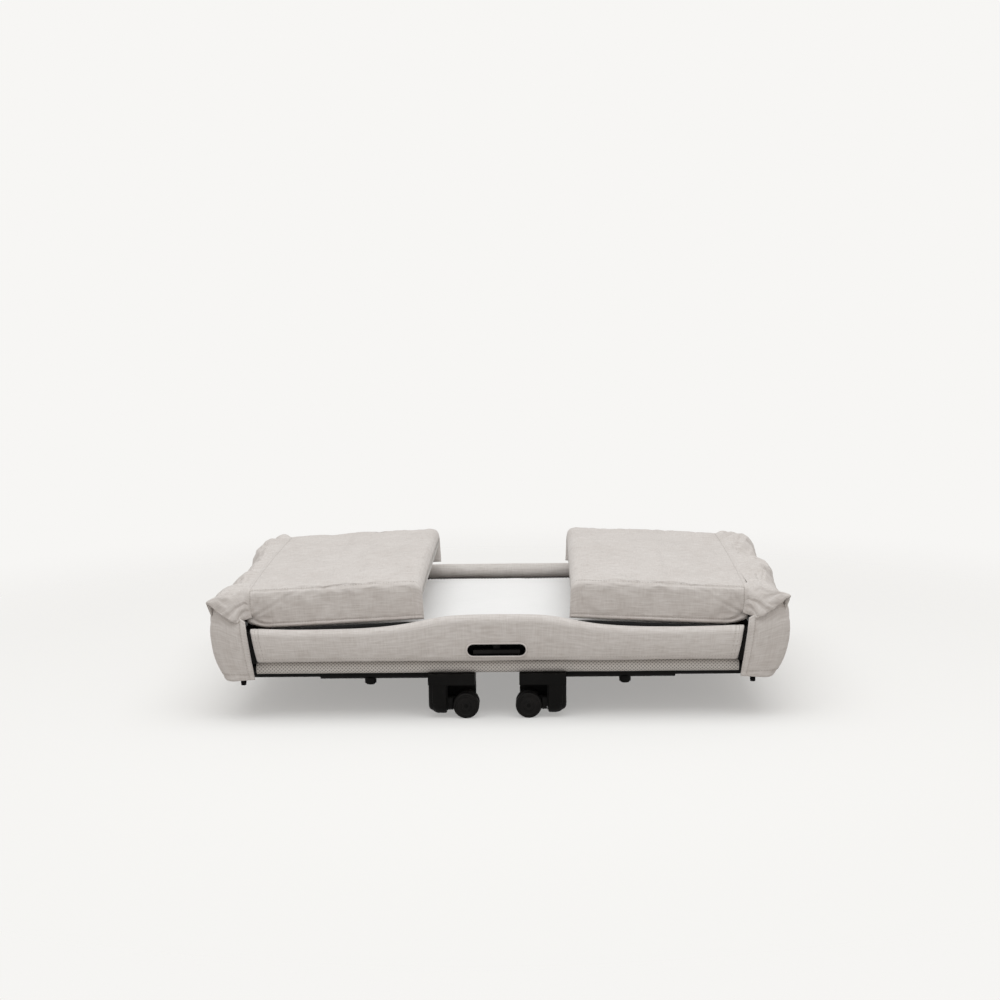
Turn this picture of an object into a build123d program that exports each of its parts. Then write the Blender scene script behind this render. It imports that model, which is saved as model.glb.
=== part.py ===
from build123d import *
from math import cos, hypot, radians, sin
import os

# A bedside travel crib, folded flat. X runs along its width, Y from front to back, Z up.
# The origin is on the floor under its middle. Sizes are in millimetres.

# Overall
HALF_DEPTH = 290.0
HALF_WIDTH = 447.5
WALL_GAP = 224.0
TUBE_WALL = 1.5
SLIP = 0.3
RUNNING = 0.05

# Castors: twin wheels on a fork that swivels in a lobe of the foot end
WHEEL_RADIUS = 20.0
WHEEL_WIDTH = 11.4
CASTOR_TRAIL = 3.0
FORK_THICKNESS = 8.0
AXLE_RADIUS = 3.0
STEM_RADIUS = 4.0
STEM_LENGTH = 20.0
FLANGE_LENGTH = 7.0

# Legs, folded under the base
LEG_Z = 68.5
LEG_TUBE_RADIUS = 9.0
LEG_OVERLAP = 94.0
KNUCKLE_RADIUS = 10.0
LEG_KNUCKLE_WIDTH = 18.0
SLEEVE_RADIUS = 12.0
SLEEVE_LENGTH = 195.0
SPIGOT_LENGTH = 26.0
FOOT_BAR_RADIUS = 10.0
FOOT_INNER_X = 34.0
LOBE_RADIUS = 13.0
LOBE_LENGTH = 29.5

# Height buttons under the sleeves
BUTTON_INSET = 17.0
BUTTON_RADIUS = 7.0
BUTTON_DROP = 8.9
BUTTON_TRAVEL = 4.0
BUTTON_STEM_RADIUS = 3.5
HEIGHT_PITCH = 18.75
HEIGHT_HOLES = 5

# Base
BASE_TUBE_INSET = 22.0
BASE_TUBE_RADIUS = 8.0
BASE_TUBE_ABOVE_LEG = 11.5
LEG_BESIDE_TUBE = 20.0
HEM_THICKNESS = 1.0
BEAM_SIZE = 20.0
BEAM_OUT = 16.0
PIN_RADIUS = 4.0
PIN_INSET = 3.6
PLATE_THICKNESS = 9.6
FOOT_RADIUS = 4.5
FOOT_HEIGHT = 7.5

# End caps
CAP_BOTTOM = 63.0
CAP_WALL = 6.0
CAP_LEAN = 12.0
CAP_UNDERCUT = 26.0
CAP_SIDE_BOW = 8.0

# End walls: u runs inwards from the hinge along the wall, v up from the wall's plane
HINGE_INSET = 59.5
HINGE_Z = 146.0
WALL_TILT = 2.8
WALL_START = 2.0
RETURN_DROP = 6.0
WALL_RISE = 51.5
WALL_CROWN = 4.0
PANEL_THICKNESS = 14.0
RETURN_THICKNESS = 12.0
WALL_EDGE_RADIUS = 13.0
WALL_TUBE_RADIUS = 8.0
WALL_TUBE_BEND = 40.0
WALL_BOARD = 3.0
WALL_KNUCKLE_WIDTH = 14.0
RETURN_CUT_U = 22.0
RETURN_CUT_V = 20.0

# Front rail
RAIL_THICKNESS = 28.0
RAIL_WALL_GAP = 2.0
RAIL_END_GAP = 10.0
RAIL_LEAN = 10.0
RAIL_HEIGHT = 50.0
RAIL_HUMP = 22.0
RAIL_HUMP_HALF = 215.0
RAIL_TUBE_RADIUS = 7.5
RAIL_TUBE_COVER = 4.0
RAIL_ROUNDING = 9.0
SLOT_LENGTH = 88.0
SLOT_HEIGHT = 16.5
BEZEL_UNDER_TUBE = 1.0
BEZEL_WALL = 2.0
PRESS_BAR_HEIGHT = 7.5
PRESS_BAR_DEPTH = 14.0
ROD_RADIUS = 3.0
ROD_INNER_X = 14.0

# Rear rail
REAR_SLEEVE_RADIUS = 13.5
REAR_SLEEVE_GAP = 20.0

# Floor and mattress
BOARD_GAP = 15.0
BOARD_END_GAP = 18.0
BOARD_THICKNESS = 4.0
BOARD_NOTCH = 80.0
MATTRESS_MARGIN = 5.0
MATTRESS_END_MARGIN = 10.0
MATTRESS_THICKNESS = 36.0
MATTRESS_CROWN = 2.5

# Hinge covers: from the wall's edge over a ridge to an ear that hangs over the cap
COVER_THICKNESS = 3.0
COVER_WALL_GAP = 3.5
COVER_DROP = 3.5

# How far the ear is drawn in and dropped below the wall's edge, from front to rear
COVER_EARS = {
    -1: ((1, 14), (2, 22), (8, 30), (14, 36), (17, 40), (17, 40), (14, 36), (6, 32), (3, 34)),
    1: ((1, 10), (2, 18), (0, 10), (2, 16), (0, 10), (2, 18), (0, 8), (2, 14), (2, 22)),
}

# Worked out from the above
HINGE_X = HALF_WIDTH - HINGE_INSET
WALL_LENGTH = HINGE_X - WALL_GAP / 2
BRACKET_INNER_X = HINGE_X + 2.0
BRACKET_OUTER_X = BRACKET_INNER_X + 28.0
BRACKET_TOP = HINGE_Z - KNUCKLE_RADIUS - 6.0
BEAM_X = HINGE_X + BEAM_OUT
LEG_PIVOT_X = BRACKET_INNER_X + KNUCKLE_RADIUS
CAP_INNER_HIGH_X = HINGE_X - 2.0
CAP_INNER_LOW_X = CAP_INNER_HIGH_X - CAP_LEAN
CAP_HIGH_X = HALF_WIDTH - 0.5
CAP_MID_X = CAP_HIGH_X - CAP_SIDE_BOW
CAP_LOW_X = CAP_HIGH_X - CAP_UNDERCUT
CAP_TOP = HINGE_Z - 1.0
RAIL_HIGH_X = HINGE_X - RAIL_END_GAP
RAIL_LOW_X = RAIL_HIGH_X - RAIL_LEAN
BASE_TUBE_Y = HALF_DEPTH - BASE_TUBE_INSET
BASE_TUBE_Z = LEG_Z + BASE_TUBE_ABOVE_LEG
BASE_TUBE_HALF = BRACKET_INNER_X + 18.0
HEM_RADIUS = BASE_TUBE_RADIUS + 0.2 + HEM_THICKNESS
BEAM_TOP = BASE_TUBE_Z + 10.5
LEG_Y = BASE_TUBE_Y - LEG_BESIDE_TUBE
CASTOR_Y = BASE_TUBE_Y
WHEEL_X = FOOT_INNER_X + 14.0
SWIVEL_Z = WHEEL_RADIUS + CASTOR_TRAIL
WHEEL_OFFSET = FORK_THICKNESS / 2 + SLIP + WHEEL_WIDTH / 2
CASTOR_HALF_WIDTH = WHEEL_OFFSET + WHEEL_WIDTH / 2
CASTOR_SWEEP = hypot(WHEEL_RADIUS + CASTOR_TRAIL, CASTOR_HALF_WIDTH)
FLANGE_X = WHEEL_X + WHEEL_RADIUS + 1.0
LOBE_X = FLANGE_X + FLANGE_LENGTH + 0.5
SLEEVE_BORE = LEG_TUBE_RADIUS + SLIP
SLEEVE_INNER_X = LOBE_X + 2.5
SLEEVE_OUTER_X = SLEEVE_INNER_X + SLEEVE_LENGTH
LEG_TUBE_END_X = SLEEVE_OUTER_X - LEG_OVERLAP
BUTTON_X = LEG_TUBE_END_X + BUTTON_INSET
FOOT_BLOCK_BOTTOM = SWIVEL_Z + CASTOR_SWEEP + 2.5
FOOT_BAR_X = (FOOT_INNER_X + SLEEVE_INNER_X) / 2
WALL_HALF_DEPTH = HALF_DEPTH - RAIL_THICKNESS - RAIL_WALL_GAP
PANEL_UNDER = WALL_RISE - PANEL_THICKNESS
WALL_TUBE_V = PANEL_UNDER - 0.4 - WALL_TUBE_RADIUS
WALL_TUBE_Y = WALL_HALF_DEPTH - RETURN_THICKNESS - 0.4 - WALL_TUBE_RADIUS
WALL_TUBE_START = 14.0
WALL_TUBE_END = WALL_LENGTH - WALL_TUBE_RADIUS - 2.0
RAIL_Y = -HALF_DEPTH + RAIL_THICKNESS / 2
RAIL_BOTTOM = BASE_TUBE_Z + HEM_RADIUS + SLIP
RAIL_TUBE_Z = RAIL_BOTTOM + RAIL_HEIGHT - RAIL_TUBE_COVER - RAIL_TUBE_RADIUS
REAR_RAIL_Z = RAIL_TUBE_Z + 2.0
REAR_SLEEVE_HALF = BRACKET_INNER_X - REAR_SLEEVE_GAP
SLOT_BOTTOM = RAIL_TUBE_Z - RAIL_TUBE_RADIUS - BEZEL_UNDER_TUBE - BEZEL_WALL - SLOT_HEIGHT
SLOT_MID_Z = SLOT_BOTTOM + SLOT_HEIGHT / 2
BOARD_BOTTOM = BEAM_TOP + 0.2
BOARD_HALF_X = BRACKET_INNER_X - BOARD_END_GAP
BOARD_HALF_Y = WALL_HALF_DEPTH - BOARD_GAP
BOARD_TAB_HALF_Y = BOARD_HALF_Y - BOARD_NOTCH
MATTRESS_BOTTOM = BOARD_BOTTOM + BOARD_THICKNESS + SLIP
MATTRESS_TOP = MATTRESS_BOTTOM + MATTRESS_THICKNESS
MATTRESS_HALF_X = BOARD_HALF_X - MATTRESS_END_MARGIN
MATTRESS_HALF_Y = BOARD_HALF_Y - MATTRESS_MARGIN
COVER_INNER_X = HINGE_X + COVER_WALL_GAP
COVER_INNER_Z = HINGE_Z + WALL_RISE + 1.0
COVER_OUTER_X = HALF_WIDTH

SIDES = {"left": -1, "right": 1}
ENDS = {"front": -1, "rear": 1}

os.makedirs("parts", exist_ok=True)


def save(piece, label):
    piece.label = label
    export_step(piece, f"parts/{label}.step")


def front_view(y):
    """Sketch plane at depth y, with X and Z as its axes."""
    return Plane.XZ.offset(-y)


def side_view(x):
    """Sketch plane at x, with Y and Z as its axes."""
    return Plane.YZ.offset(x)


def wall_side_plane(side):
    """Sketch plane through the wall's hinge, with u and v as its axes."""
    tilt = radians(WALL_TILT)
    inwards = (-side * cos(tilt), 0, sin(tilt))
    return Plane(origin=(side * HINGE_X, 0, HINGE_Z), x_dir=inwards, z_dir=(0, side, 0))


def wall_section_plane(side, u):
    """Sketch plane across the wall at u, with Y and v as its axes."""
    hinge = wall_side_plane(side)
    return Plane(origin=hinge.from_local_coords((u, 0, 0)), x_dir=(0, -side, 0), z_dir=hinge.x_dir)


def wall_flat_plane(side, v):
    """Sketch plane along the wall at height v, with u and Y as its axes."""
    hinge = wall_side_plane(side)
    return Plane(origin=hinge.from_local_coords((0, v, 0)), x_dir=hinge.x_dir, z_dir=hinge.y_dir)


# Base


def base_tube(end, label):
    with BuildPart() as tube:
        with BuildSketch(side_view(0)):
            with Locations((end * BASE_TUBE_Y, BASE_TUBE_Z)):
                Circle(BASE_TUBE_RADIUS)
                Circle(BASE_TUBE_RADIUS - TUBE_WALL, mode=Mode.SUBTRACT)
        extrude(amount=BASE_TUBE_HALF, both=True)
    save(tube.part, label)


EAR_INNER_Y = WALL_TUBE_Y - WALL_KNUCKLE_WIDTH / 2 - SLIP - PLATE_THICKNESS / 2
EAR_OUTER_Y = WALL_TUBE_Y + WALL_KNUCKLE_WIDTH / 2 + SLIP + PLATE_THICKNESS / 2
LEG_PLATE_OFFSET = LEG_KNUCKLE_WIDTH / 2 + 0.6 + PLATE_THICKNESS / 2
BRACKET_INNER_Y = EAR_INNER_Y - PLATE_THICKNESS / 2
BRACKET_OUTER_Y = BASE_TUBE_Y + BASE_TUBE_RADIUS + 3.7
BRACKET_BOTTOM = LEG_Z + KNUCKLE_RADIUS + 1.0
LEG_PLATE_BOTTOM = LEG_Z - KNUCKLE_RADIUS
LEG_PIN_LENGTH = 2 * (LEG_PLATE_OFFSET + PLATE_THICKNESS / 2 - PIN_INSET)
BEAM_HALF = BRACKET_INNER_Y + PLATE_THICKNESS - 2.0


def end_beam(side, label):
    with BuildPart() as beam:
        with BuildSketch(front_view(0)):
            with Locations((side * BEAM_X, BEAM_TOP - BEAM_SIZE / 2)):
                RectangleRounded(BEAM_SIZE, BEAM_SIZE, 3)
                RectangleRounded(BEAM_SIZE - 4, BEAM_SIZE - 4, 1.5, mode=Mode.SUBTRACT)
        extrude(amount=BEAM_HALF, both=True)
    save(beam.part, label)


def corner_bracket(side, end, label):
    mid_x = side * (BRACKET_INNER_X + BRACKET_OUTER_X) / 2
    width = BRACKET_OUTER_X - BRACKET_INNER_X
    mid_y = end * (BRACKET_INNER_Y + BRACKET_OUTER_Y) / 2
    with BuildPart() as bracket:
        # Block between the hinge ears above and the leg plates below
        with BuildSketch(front_view(mid_y)):
            with Locations((mid_x, (BRACKET_BOTTOM + BRACKET_TOP) / 2)):
                Rectangle(width, BRACKET_TOP - BRACKET_BOTTOM)
        extrude(amount=(BRACKET_OUTER_Y - BRACKET_INNER_Y) / 2, both=True)
        # Boss round the base tube
        boss_inner = LEG_Y + LEG_KNUCKLE_WIDTH / 2 + 0.6
        with BuildSketch(front_view(end * (boss_inner + BRACKET_OUTER_Y) / 2)):
            with Locations((mid_x, BASE_TUBE_Z)):
                Rectangle(width, 2 * BASE_TUBE_RADIUS + 7)
        extrude(amount=(BRACKET_OUTER_Y - boss_inner) / 2, both=True)
        # Ears of the wall's hinge
        for ear_y in (EAR_INNER_Y, EAR_OUTER_Y):
            with BuildSketch(front_view(end * ear_y)):
                with Locations((side * HINGE_X, HINGE_Z)):
                    Circle(KNUCKLE_RADIUS)
                with Locations((side * (BRACKET_INNER_X + 11), BRACKET_TOP - 6)):
                    Rectangle(20, 12)
                make_hull()
            extrude(amount=PLATE_THICKNESS / 2, both=True)
        # Plates of the leg's hinge
        for offset_y in (-LEG_PLATE_OFFSET, LEG_PLATE_OFFSET):
            with BuildSketch(front_view(end * (LEG_Y + offset_y))):
                with Locations((side * LEG_PIVOT_X, (LEG_PLATE_BOTTOM + BRACKET_BOTTOM + 1) / 2)):
                    Rectangle(2 * KNUCKLE_RADIUS + 5, BRACKET_BOTTOM + 1 - LEG_PLATE_BOTTOM)
            extrude(amount=PLATE_THICKNESS / 2, both=True)
        # Sockets of the base tube and the end beam
        with BuildSketch(side_view(0)):
            with Locations((end * BASE_TUBE_Y, BASE_TUBE_Z)):
                Circle(BASE_TUBE_RADIUS + 0.1)
        extrude(amount=side * (BASE_TUBE_HALF + 0.2), mode=Mode.SUBTRACT)
        with BuildSketch(front_view(0)):
            with Locations((side * BEAM_X, BEAM_TOP - BEAM_SIZE / 2)):
                Rectangle(BEAM_SIZE + 0.4, BEAM_SIZE + 0.4)
        extrude(amount=-end * (BEAM_HALF + 0.2), mode=Mode.SUBTRACT)
        # Bores of the hinge pins
        with BuildSketch(front_view(end * WALL_TUBE_Y)):
            with Locations((side * HINGE_X, HINGE_Z)):
                Circle(PIN_RADIUS + 0.02)
        extrude(amount=WALL_KNUCKLE_WIDTH + PLATE_THICKNESS, both=True, mode=Mode.SUBTRACT)
        with BuildSketch(front_view(end * LEG_Y)):
            with Locations((side * LEG_PIVOT_X, LEG_Z)):
                Circle(PIN_RADIUS + 0.02)
        extrude(amount=LEG_KNUCKLE_WIDTH + PLATE_THICKNESS, both=True, mode=Mode.SUBTRACT)
    save(bracket.part, label)


def hinge_pins(x, z, mid_y, length, label):
    with BuildPart() as pins:
        for end in ENDS.values():
            with BuildSketch(front_view(end * mid_y)):
                with Locations((-x, z), (x, z)):
                    Circle(PIN_RADIUS)
            extrude(amount=length / 2, both=True)
    save(pins.part, label)


def corner_feet(label):
    foot_y = LEG_Y + LEG_PLATE_OFFSET
    foot_x = LEG_PIVOT_X - KNUCKLE_RADIUS + 2.5
    with BuildPart() as feet:
        with BuildSketch(Plane.XY.offset(LEG_PLATE_BOTTOM)):
            with GridLocations(2 * foot_x, 2 * foot_y, 2, 2):
                Circle(FOOT_RADIUS)
        extrude(amount=-FOOT_HEIGHT, taper=5)
    save(feet.part, label)


def cap_outline(side, grow):
    """Front outline of an end cap, its outer face moved inwards by grow."""
    low = (side * (CAP_LOW_X - grow), CAP_BOTTOM)
    middle = (side * (CAP_MID_X - grow), (CAP_BOTTOM + CAP_TOP) / 2 - 4)
    high = (side * (CAP_HIGH_X - grow), CAP_TOP)
    return low, middle, high


def end_cap(side, label):
    with BuildPart() as cap:
        # Solid of the cap with its bowed outer face
        with BuildSketch(front_view(0)):
            with BuildLine():
                low, middle, high = cap_outline(side, 0)
                ThreePointArc(low, middle, high)
                Polyline(
                    high,
                    (side * CAP_INNER_HIGH_X, CAP_TOP),
                    (side * CAP_INNER_LOW_X, CAP_BOTTOM),
                    low,
                )
            make_face()
        extrude(amount=HALF_DEPTH, both=True)
        fillet(cap.edges().filter_by(GeomType.CIRCLE), radius=CAP_WALL * 1.5)
        # Room for the brackets, open at the top, the bottom and the inner side
        with BuildSketch(front_view(0)):
            with BuildLine():
                low, middle, high = cap_outline(side, CAP_WALL)
                ThreePointArc(low, middle, high)
                Polyline(
                    high,
                    (high[0], CAP_TOP + 1),
                    (side * (CAP_INNER_LOW_X - 1), CAP_TOP + 1),
                    (side * (CAP_INNER_LOW_X - 1), CAP_BOTTOM - 1),
                    (low[0], CAP_BOTTOM - 1),
                    low,
                )
            make_face()
        extrude(amount=HALF_DEPTH - CAP_WALL, both=True, mode=Mode.SUBTRACT)
    save(cap.part, label)


def cover_section(side, drawn_in, drop):
    """Outline of the hinge cover's roof, its ear drawn in and dropped by these amounts."""
    t = COVER_THICKNESS
    ear_x = COVER_OUTER_X - drawn_in
    ear_z = COVER_INNER_Z - drop
    ridge_x = (COVER_INNER_X + ear_x) / 2
    ridge_z = COVER_INNER_Z - COVER_DROP - drop / 6
    hem_x = ear_x - 1.0
    outer = [
        (COVER_INNER_X, COVER_INNER_Z),
        (ridge_x, ridge_z),
        (ear_x, ear_z),
        (hem_x, CAP_TOP + 1),
    ]
    inner = [
        (hem_x - t, CAP_TOP + 1),
        (ear_x - t, ear_z - t * 0.8),
        (ridge_x - 1, ridge_z - t),
        (COVER_INNER_X, COVER_INNER_Z - t),
    ]
    return [(side * x, z) for x, z in outer + inner]


def hinge_cover(side, label):
    ears = COVER_EARS[side]
    step = 2 * (HALF_DEPTH - 1) / (len(ears) - 1)
    with BuildPart() as cover:
        # Roof, from one end of the hinge to the other, in billows
        for span, (drawn_in, drop) in enumerate(ears):
            with BuildSketch(front_view(1 - HALF_DEPTH + span * step)):
                with BuildLine():
                    Polyline(*cover_section(side, drawn_in, drop), close=True)
                make_face()
        loft(ruled=True)
        # Flaps that close the roof at the front and the rear
        for end, (drawn_in, drop) in ((-1, ears[0]), (1, ears[-1])):
            with BuildSketch(front_view(end * (HALF_DEPTH - 1))):
                with BuildLine():
                    outer = cover_section(side, drawn_in, drop)[:4]
                    Polyline(*outer, (side * COVER_INNER_X, CAP_TOP + 4), close=True)
                make_face()
            extrude(amount=end * COVER_THICKNESS)
    save(cover.part, label)


def floor_board(label):
    with BuildPart() as board:
        with BuildSketch(Plane.XY.offset(BOARD_BOTTOM)):
            RectangleRounded(2 * BOARD_HALF_X, 2 * BOARD_HALF_Y, 12)
            RectangleRounded(2 * (BEAM_X + BEAM_SIZE / 2 - 1), 2 * BOARD_TAB_HALF_Y, 6)
        extrude(amount=BOARD_THICKNESS)
    save(board.part, label)


def mattress(label):
    drawn_in = 9.0
    shoulder = MATTRESS_TOP - 8
    middle = (MATTRESS_BOTTOM + shoulder) / 2
    with BuildPart() as pad:
        levels = ((MATTRESS_BOTTOM, drawn_in), (middle, 0), (shoulder, 2), (MATTRESS_TOP, 24))
        for z, inset in levels:
            with BuildSketch(Plane.XY.offset(z)):
                RectangleRounded(2 * (MATTRESS_HALF_X - inset), 2 * (MATTRESS_HALF_Y - inset), 30)
        loft(ruled=True)
        # Crown over the middle of the top
        with BuildSketch(Plane.XY.offset(MATTRESS_TOP)):
            RectangleRounded(2 * MATTRESS_HALF_X - 48, 2 * MATTRESS_HALF_Y - 48, 30)
        extrude(amount=MATTRESS_CROWN, taper=70)
    save(pad.part, label)


def mesh_side(end, label):
    half = RAIL_LOW_X + 2
    bundle_outer = HALF_DEPTH - RAIL_THICKNESS - 1.5
    bundle_inner = BOARD_HALF_Y + 5
    bundle_bottom = BOARD_BOTTOM + BOARD_THICKNESS + 1
    bundle_top = HINGE_Z - RETURN_DROP - 2.5
    fold = (bundle_outer - bundle_inner) / 4
    with BuildPart() as mesh:
        with BuildSketch(side_view(0)):
            # Hem round the base tube, and a web up to the gathered mesh
            with Locations((end * BASE_TUBE_Y, BASE_TUBE_Z)):
                Circle(HEM_RADIUS)
            with BuildLine():
                web = (
                    (bundle_outer - 2, bundle_bottom + 2),
                    (bundle_outer, bundle_bottom + 2),
                    (bundle_outer, BASE_TUBE_Z + 6),
                    (BASE_TUBE_Y, BASE_TUBE_Z + 6),
                    (BASE_TUBE_Y, BASE_TUBE_Z + 3),
                    (bundle_outer - 2, BASE_TUBE_Z + 3),
                )
                Polyline(*[(end * y, z) for y, z in web], close=True)
            make_face()
            with Locations((end * BASE_TUBE_Y, BASE_TUBE_Z)):
                Circle(BASE_TUBE_RADIUS + 0.2, mode=Mode.SUBTRACT)
            # Four gathered folds, standing side by side
            for layer in range(4):
                drop = 4.0 if layer % 2 else 0.0
                height = bundle_top - bundle_bottom - drop
                layer_y = end * (bundle_outer - fold * (layer + 0.5))
                with Locations((layer_y, bundle_bottom + height / 2)):
                    Rectangle(fold, height)
        extrude(amount=half, both=True)
    save(mesh.part, label)


# Front rail


def rail_end_x(z):
    """Half length of the front rail at height z; its ends lean outwards."""
    return RAIL_LOW_X + (RAIL_HIGH_X - RAIL_LOW_X) * (z - RAIL_BOTTOM) / RAIL_HEIGHT


RAIL_TUBE_HALF = rail_end_x(RAIL_TUBE_Z) - 2.0
BEZEL_LENGTH = SLOT_LENGTH + 2 * BEZEL_WALL
BEZEL_HEIGHT = SLOT_HEIGHT + 2 * BEZEL_WALL
STEM_WIDTH = 10.0
STEM_SLOT = 12.0


def front_rail_tube(label):
    with BuildPart() as tube:
        with BuildSketch(side_view(0)):
            with Locations((RAIL_Y, RAIL_TUBE_Z)):
                Circle(RAIL_TUBE_RADIUS)
                Circle(RAIL_TUBE_RADIUS - TUBE_WALL, mode=Mode.SUBTRACT)
        extrude(amount=RAIL_TUBE_HALF, both=True)
        with BuildSketch(Plane.XY.offset(RAIL_TUBE_Z)):
            with Locations((0, RAIL_Y)):
                Rectangle(STEM_SLOT, STEM_SLOT)
        extrude(amount=-RAIL_TUBE_RADIUS - 1, mode=Mode.SUBTRACT)
    save(tube.part, label)


def front_rail_pad(label):
    top = RAIL_BOTTOM + RAIL_HEIGHT
    with BuildPart() as pad:
        with BuildSketch(front_view(RAIL_Y)):
            with BuildLine():
                Polyline(
                    (-RAIL_HIGH_X, top),
                    (-RAIL_LOW_X, RAIL_BOTTOM),
                    (RAIL_LOW_X, RAIL_BOTTOM),
                    (RAIL_HIGH_X, top),
                )
                # Top edge, held down by the walls and risen between them
                foot = RAIL_HUMP_HALF
                rise = (
                    (foot * 1.35, 0),
                    (foot, RAIL_HUMP * 0.04),
                    (foot * 0.58, RAIL_HUMP * 0.55),
                    (foot * 0.28, RAIL_HUMP * 0.93),
                )
                left = [(-x, top + z) for x, z in rise]
                right = [(x, top + z) for x, z in reversed(rise)]
                crest = (0, top + RAIL_HUMP)
                Spline((-RAIL_HIGH_X, top), *left, crest, *right, (RAIL_HIGH_X, top))
            make_face()
        extrude(amount=RAIL_THICKNESS / 2, both=True)
        fillet(pad.edges().filter_by(GeomType.BSPLINE), radius=RAIL_ROUNDING)
        with BuildSketch(side_view(0)):
            with Locations((RAIL_Y, RAIL_TUBE_Z)):
                Circle(RAIL_TUBE_RADIUS + 0.2)
        extrude(amount=RAIL_HIGH_X + 1, both=True, mode=Mode.SUBTRACT)
        with BuildSketch(front_view(RAIL_Y)):
            with Locations((0, SLOT_MID_Z)):
                RectangleRounded(BEZEL_LENGTH + 0.4, BEZEL_HEIGHT + 0.4, BEZEL_HEIGHT / 2)
        extrude(amount=RAIL_THICKNESS, both=True, mode=Mode.SUBTRACT)
        with BuildSketch(Plane.XY.offset(SLOT_MID_Z)):
            with Locations((0, RAIL_Y)):
                Rectangle(STEM_SLOT + 1, STEM_SLOT + 1)
        extrude(amount=RAIL_TUBE_Z - SLOT_MID_Z, mode=Mode.SUBTRACT)
    save(pad.part, label)


def handle_bezel(label):
    with BuildPart() as bezel:
        with BuildSketch(front_view(RAIL_Y)):
            with Locations((0, SLOT_MID_Z)):
                RectangleRounded(BEZEL_LENGTH, BEZEL_HEIGHT, BEZEL_HEIGHT / 2 - 0.1)
        extrude(amount=RAIL_THICKNESS / 2, both=True)
        # Finger slot, closed at the back
        with BuildSketch(front_view(-HALF_DEPTH)):
            with Locations((0, SLOT_MID_Z)):
                RectangleRounded(SLOT_LENGTH, SLOT_HEIGHT, SLOT_HEIGHT / 2 - 0.1)
        extrude(amount=-(RAIL_THICKNESS - BEZEL_WALL), mode=Mode.SUBTRACT)
        # Way through the upper lip for the press bar's stem
        with BuildSketch(Plane.XY.offset(SLOT_MID_Z)):
            with Locations((0, RAIL_Y)):
                Rectangle(STEM_SLOT, STEM_SLOT)
        extrude(amount=SLOT_HEIGHT, mode=Mode.SUBTRACT)
    save(bezel.part, label)


def press_bar(label):
    bar_bottom = SLOT_BOTTOM + 0.5
    bar_front = -HALF_DEPTH + 2.0
    bar_length = SLOT_LENGTH - SLOT_HEIGHT
    with BuildPart() as bar:
        with BuildSketch(side_view(0)):
            with Locations((bar_front + PRESS_BAR_DEPTH / 2, bar_bottom + PRESS_BAR_HEIGHT / 2)):
                RectangleRounded(PRESS_BAR_DEPTH, PRESS_BAR_HEIGHT, 2)
        extrude(amount=bar_length / 2, both=True)
        # Stem up into the rail tube, where it works the latch rods
        stem_y = RAIL_Y - STEM_SLOT / 2 + 2.6
        with BuildSketch(Plane.XY.offset(bar_bottom + PRESS_BAR_HEIGHT - 1)):
            with Locations((0, stem_y)):
                Rectangle(STEM_WIDTH, 4)
        extrude(amount=RAIL_TUBE_Z - 5 - bar_bottom - PRESS_BAR_HEIGHT + 1)
    save(bar.part, label)


def latch_rod(side, label):
    outer_x = rail_end_x(RAIL_TUBE_Z) + 7.0
    with BuildPart() as rod:
        with BuildSketch(side_view(side * ROD_INNER_X)):
            with Locations((RAIL_Y, RAIL_TUBE_Z)):
                Circle(ROD_RADIUS)
        extrude(amount=side * (outer_x - ROD_INNER_X))
    save(rod.part, label)


def rail_end_bracket(side, label):
    top = RAIL_BOTTOM + RAIL_HEIGHT - 1
    with BuildPart() as bracket:
        # Leaning plate that fills the strip between the rail and the cap
        with BuildSketch(front_view(RAIL_Y)):
            with BuildLine():
                Polyline(
                    (side * (RAIL_LOW_X + SLIP), RAIL_BOTTOM),
                    (side * (rail_end_x(top) + SLIP), top),
                    (side * (rail_end_x(top) + 7.0), top),
                    (side * (RAIL_LOW_X + 8.0), RAIL_BOTTOM),
                    close=True,
                )
            make_face()
        extrude(amount=RAIL_THICKNESS / 2 - 2, both=True)
        # Spigot in the tube's end
        with BuildSketch(side_view(side * (RAIL_TUBE_HALF - SPIGOT_LENGTH))):
            with Locations((RAIL_Y, RAIL_TUBE_Z)):
                Circle(RAIL_TUBE_RADIUS - TUBE_WALL - 0.1)
        extrude(amount=side * (SPIGOT_LENGTH + 4.5))
        with BuildSketch(side_view(side * (RAIL_TUBE_HALF - SPIGOT_LENGTH - 1))):
            with Locations((RAIL_Y, RAIL_TUBE_Z)):
                Circle(ROD_RADIUS + 0.1)
        extrude(amount=side * 60, mode=Mode.SUBTRACT)
    save(bracket.part, label)


# Rear rail

REAR_RAIL_Y = HALF_DEPTH - RAIL_THICKNESS / 2


def rear_rail_tube(label):
    with BuildPart() as tube:
        with BuildSketch(side_view(0)):
            with Locations((REAR_RAIL_Y, REAR_RAIL_Z)):
                Circle(RAIL_TUBE_RADIUS)
                Circle(RAIL_TUBE_RADIUS - TUBE_WALL, mode=Mode.SUBTRACT)
        extrude(amount=REAR_SLEEVE_HALF, both=True)
    save(tube.part, label)


def rear_rail_sleeve(label):
    with BuildPart() as sleeve:
        with BuildSketch(side_view(0)):
            with Locations((REAR_RAIL_Y, REAR_RAIL_Z)):
                Circle(REAR_SLEEVE_RADIUS)
                Circle(RAIL_TUBE_RADIUS + 0.2, mode=Mode.SUBTRACT)
        extrude(amount=REAR_SLEEVE_HALF, both=True)
    save(sleeve.part, label)


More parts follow.
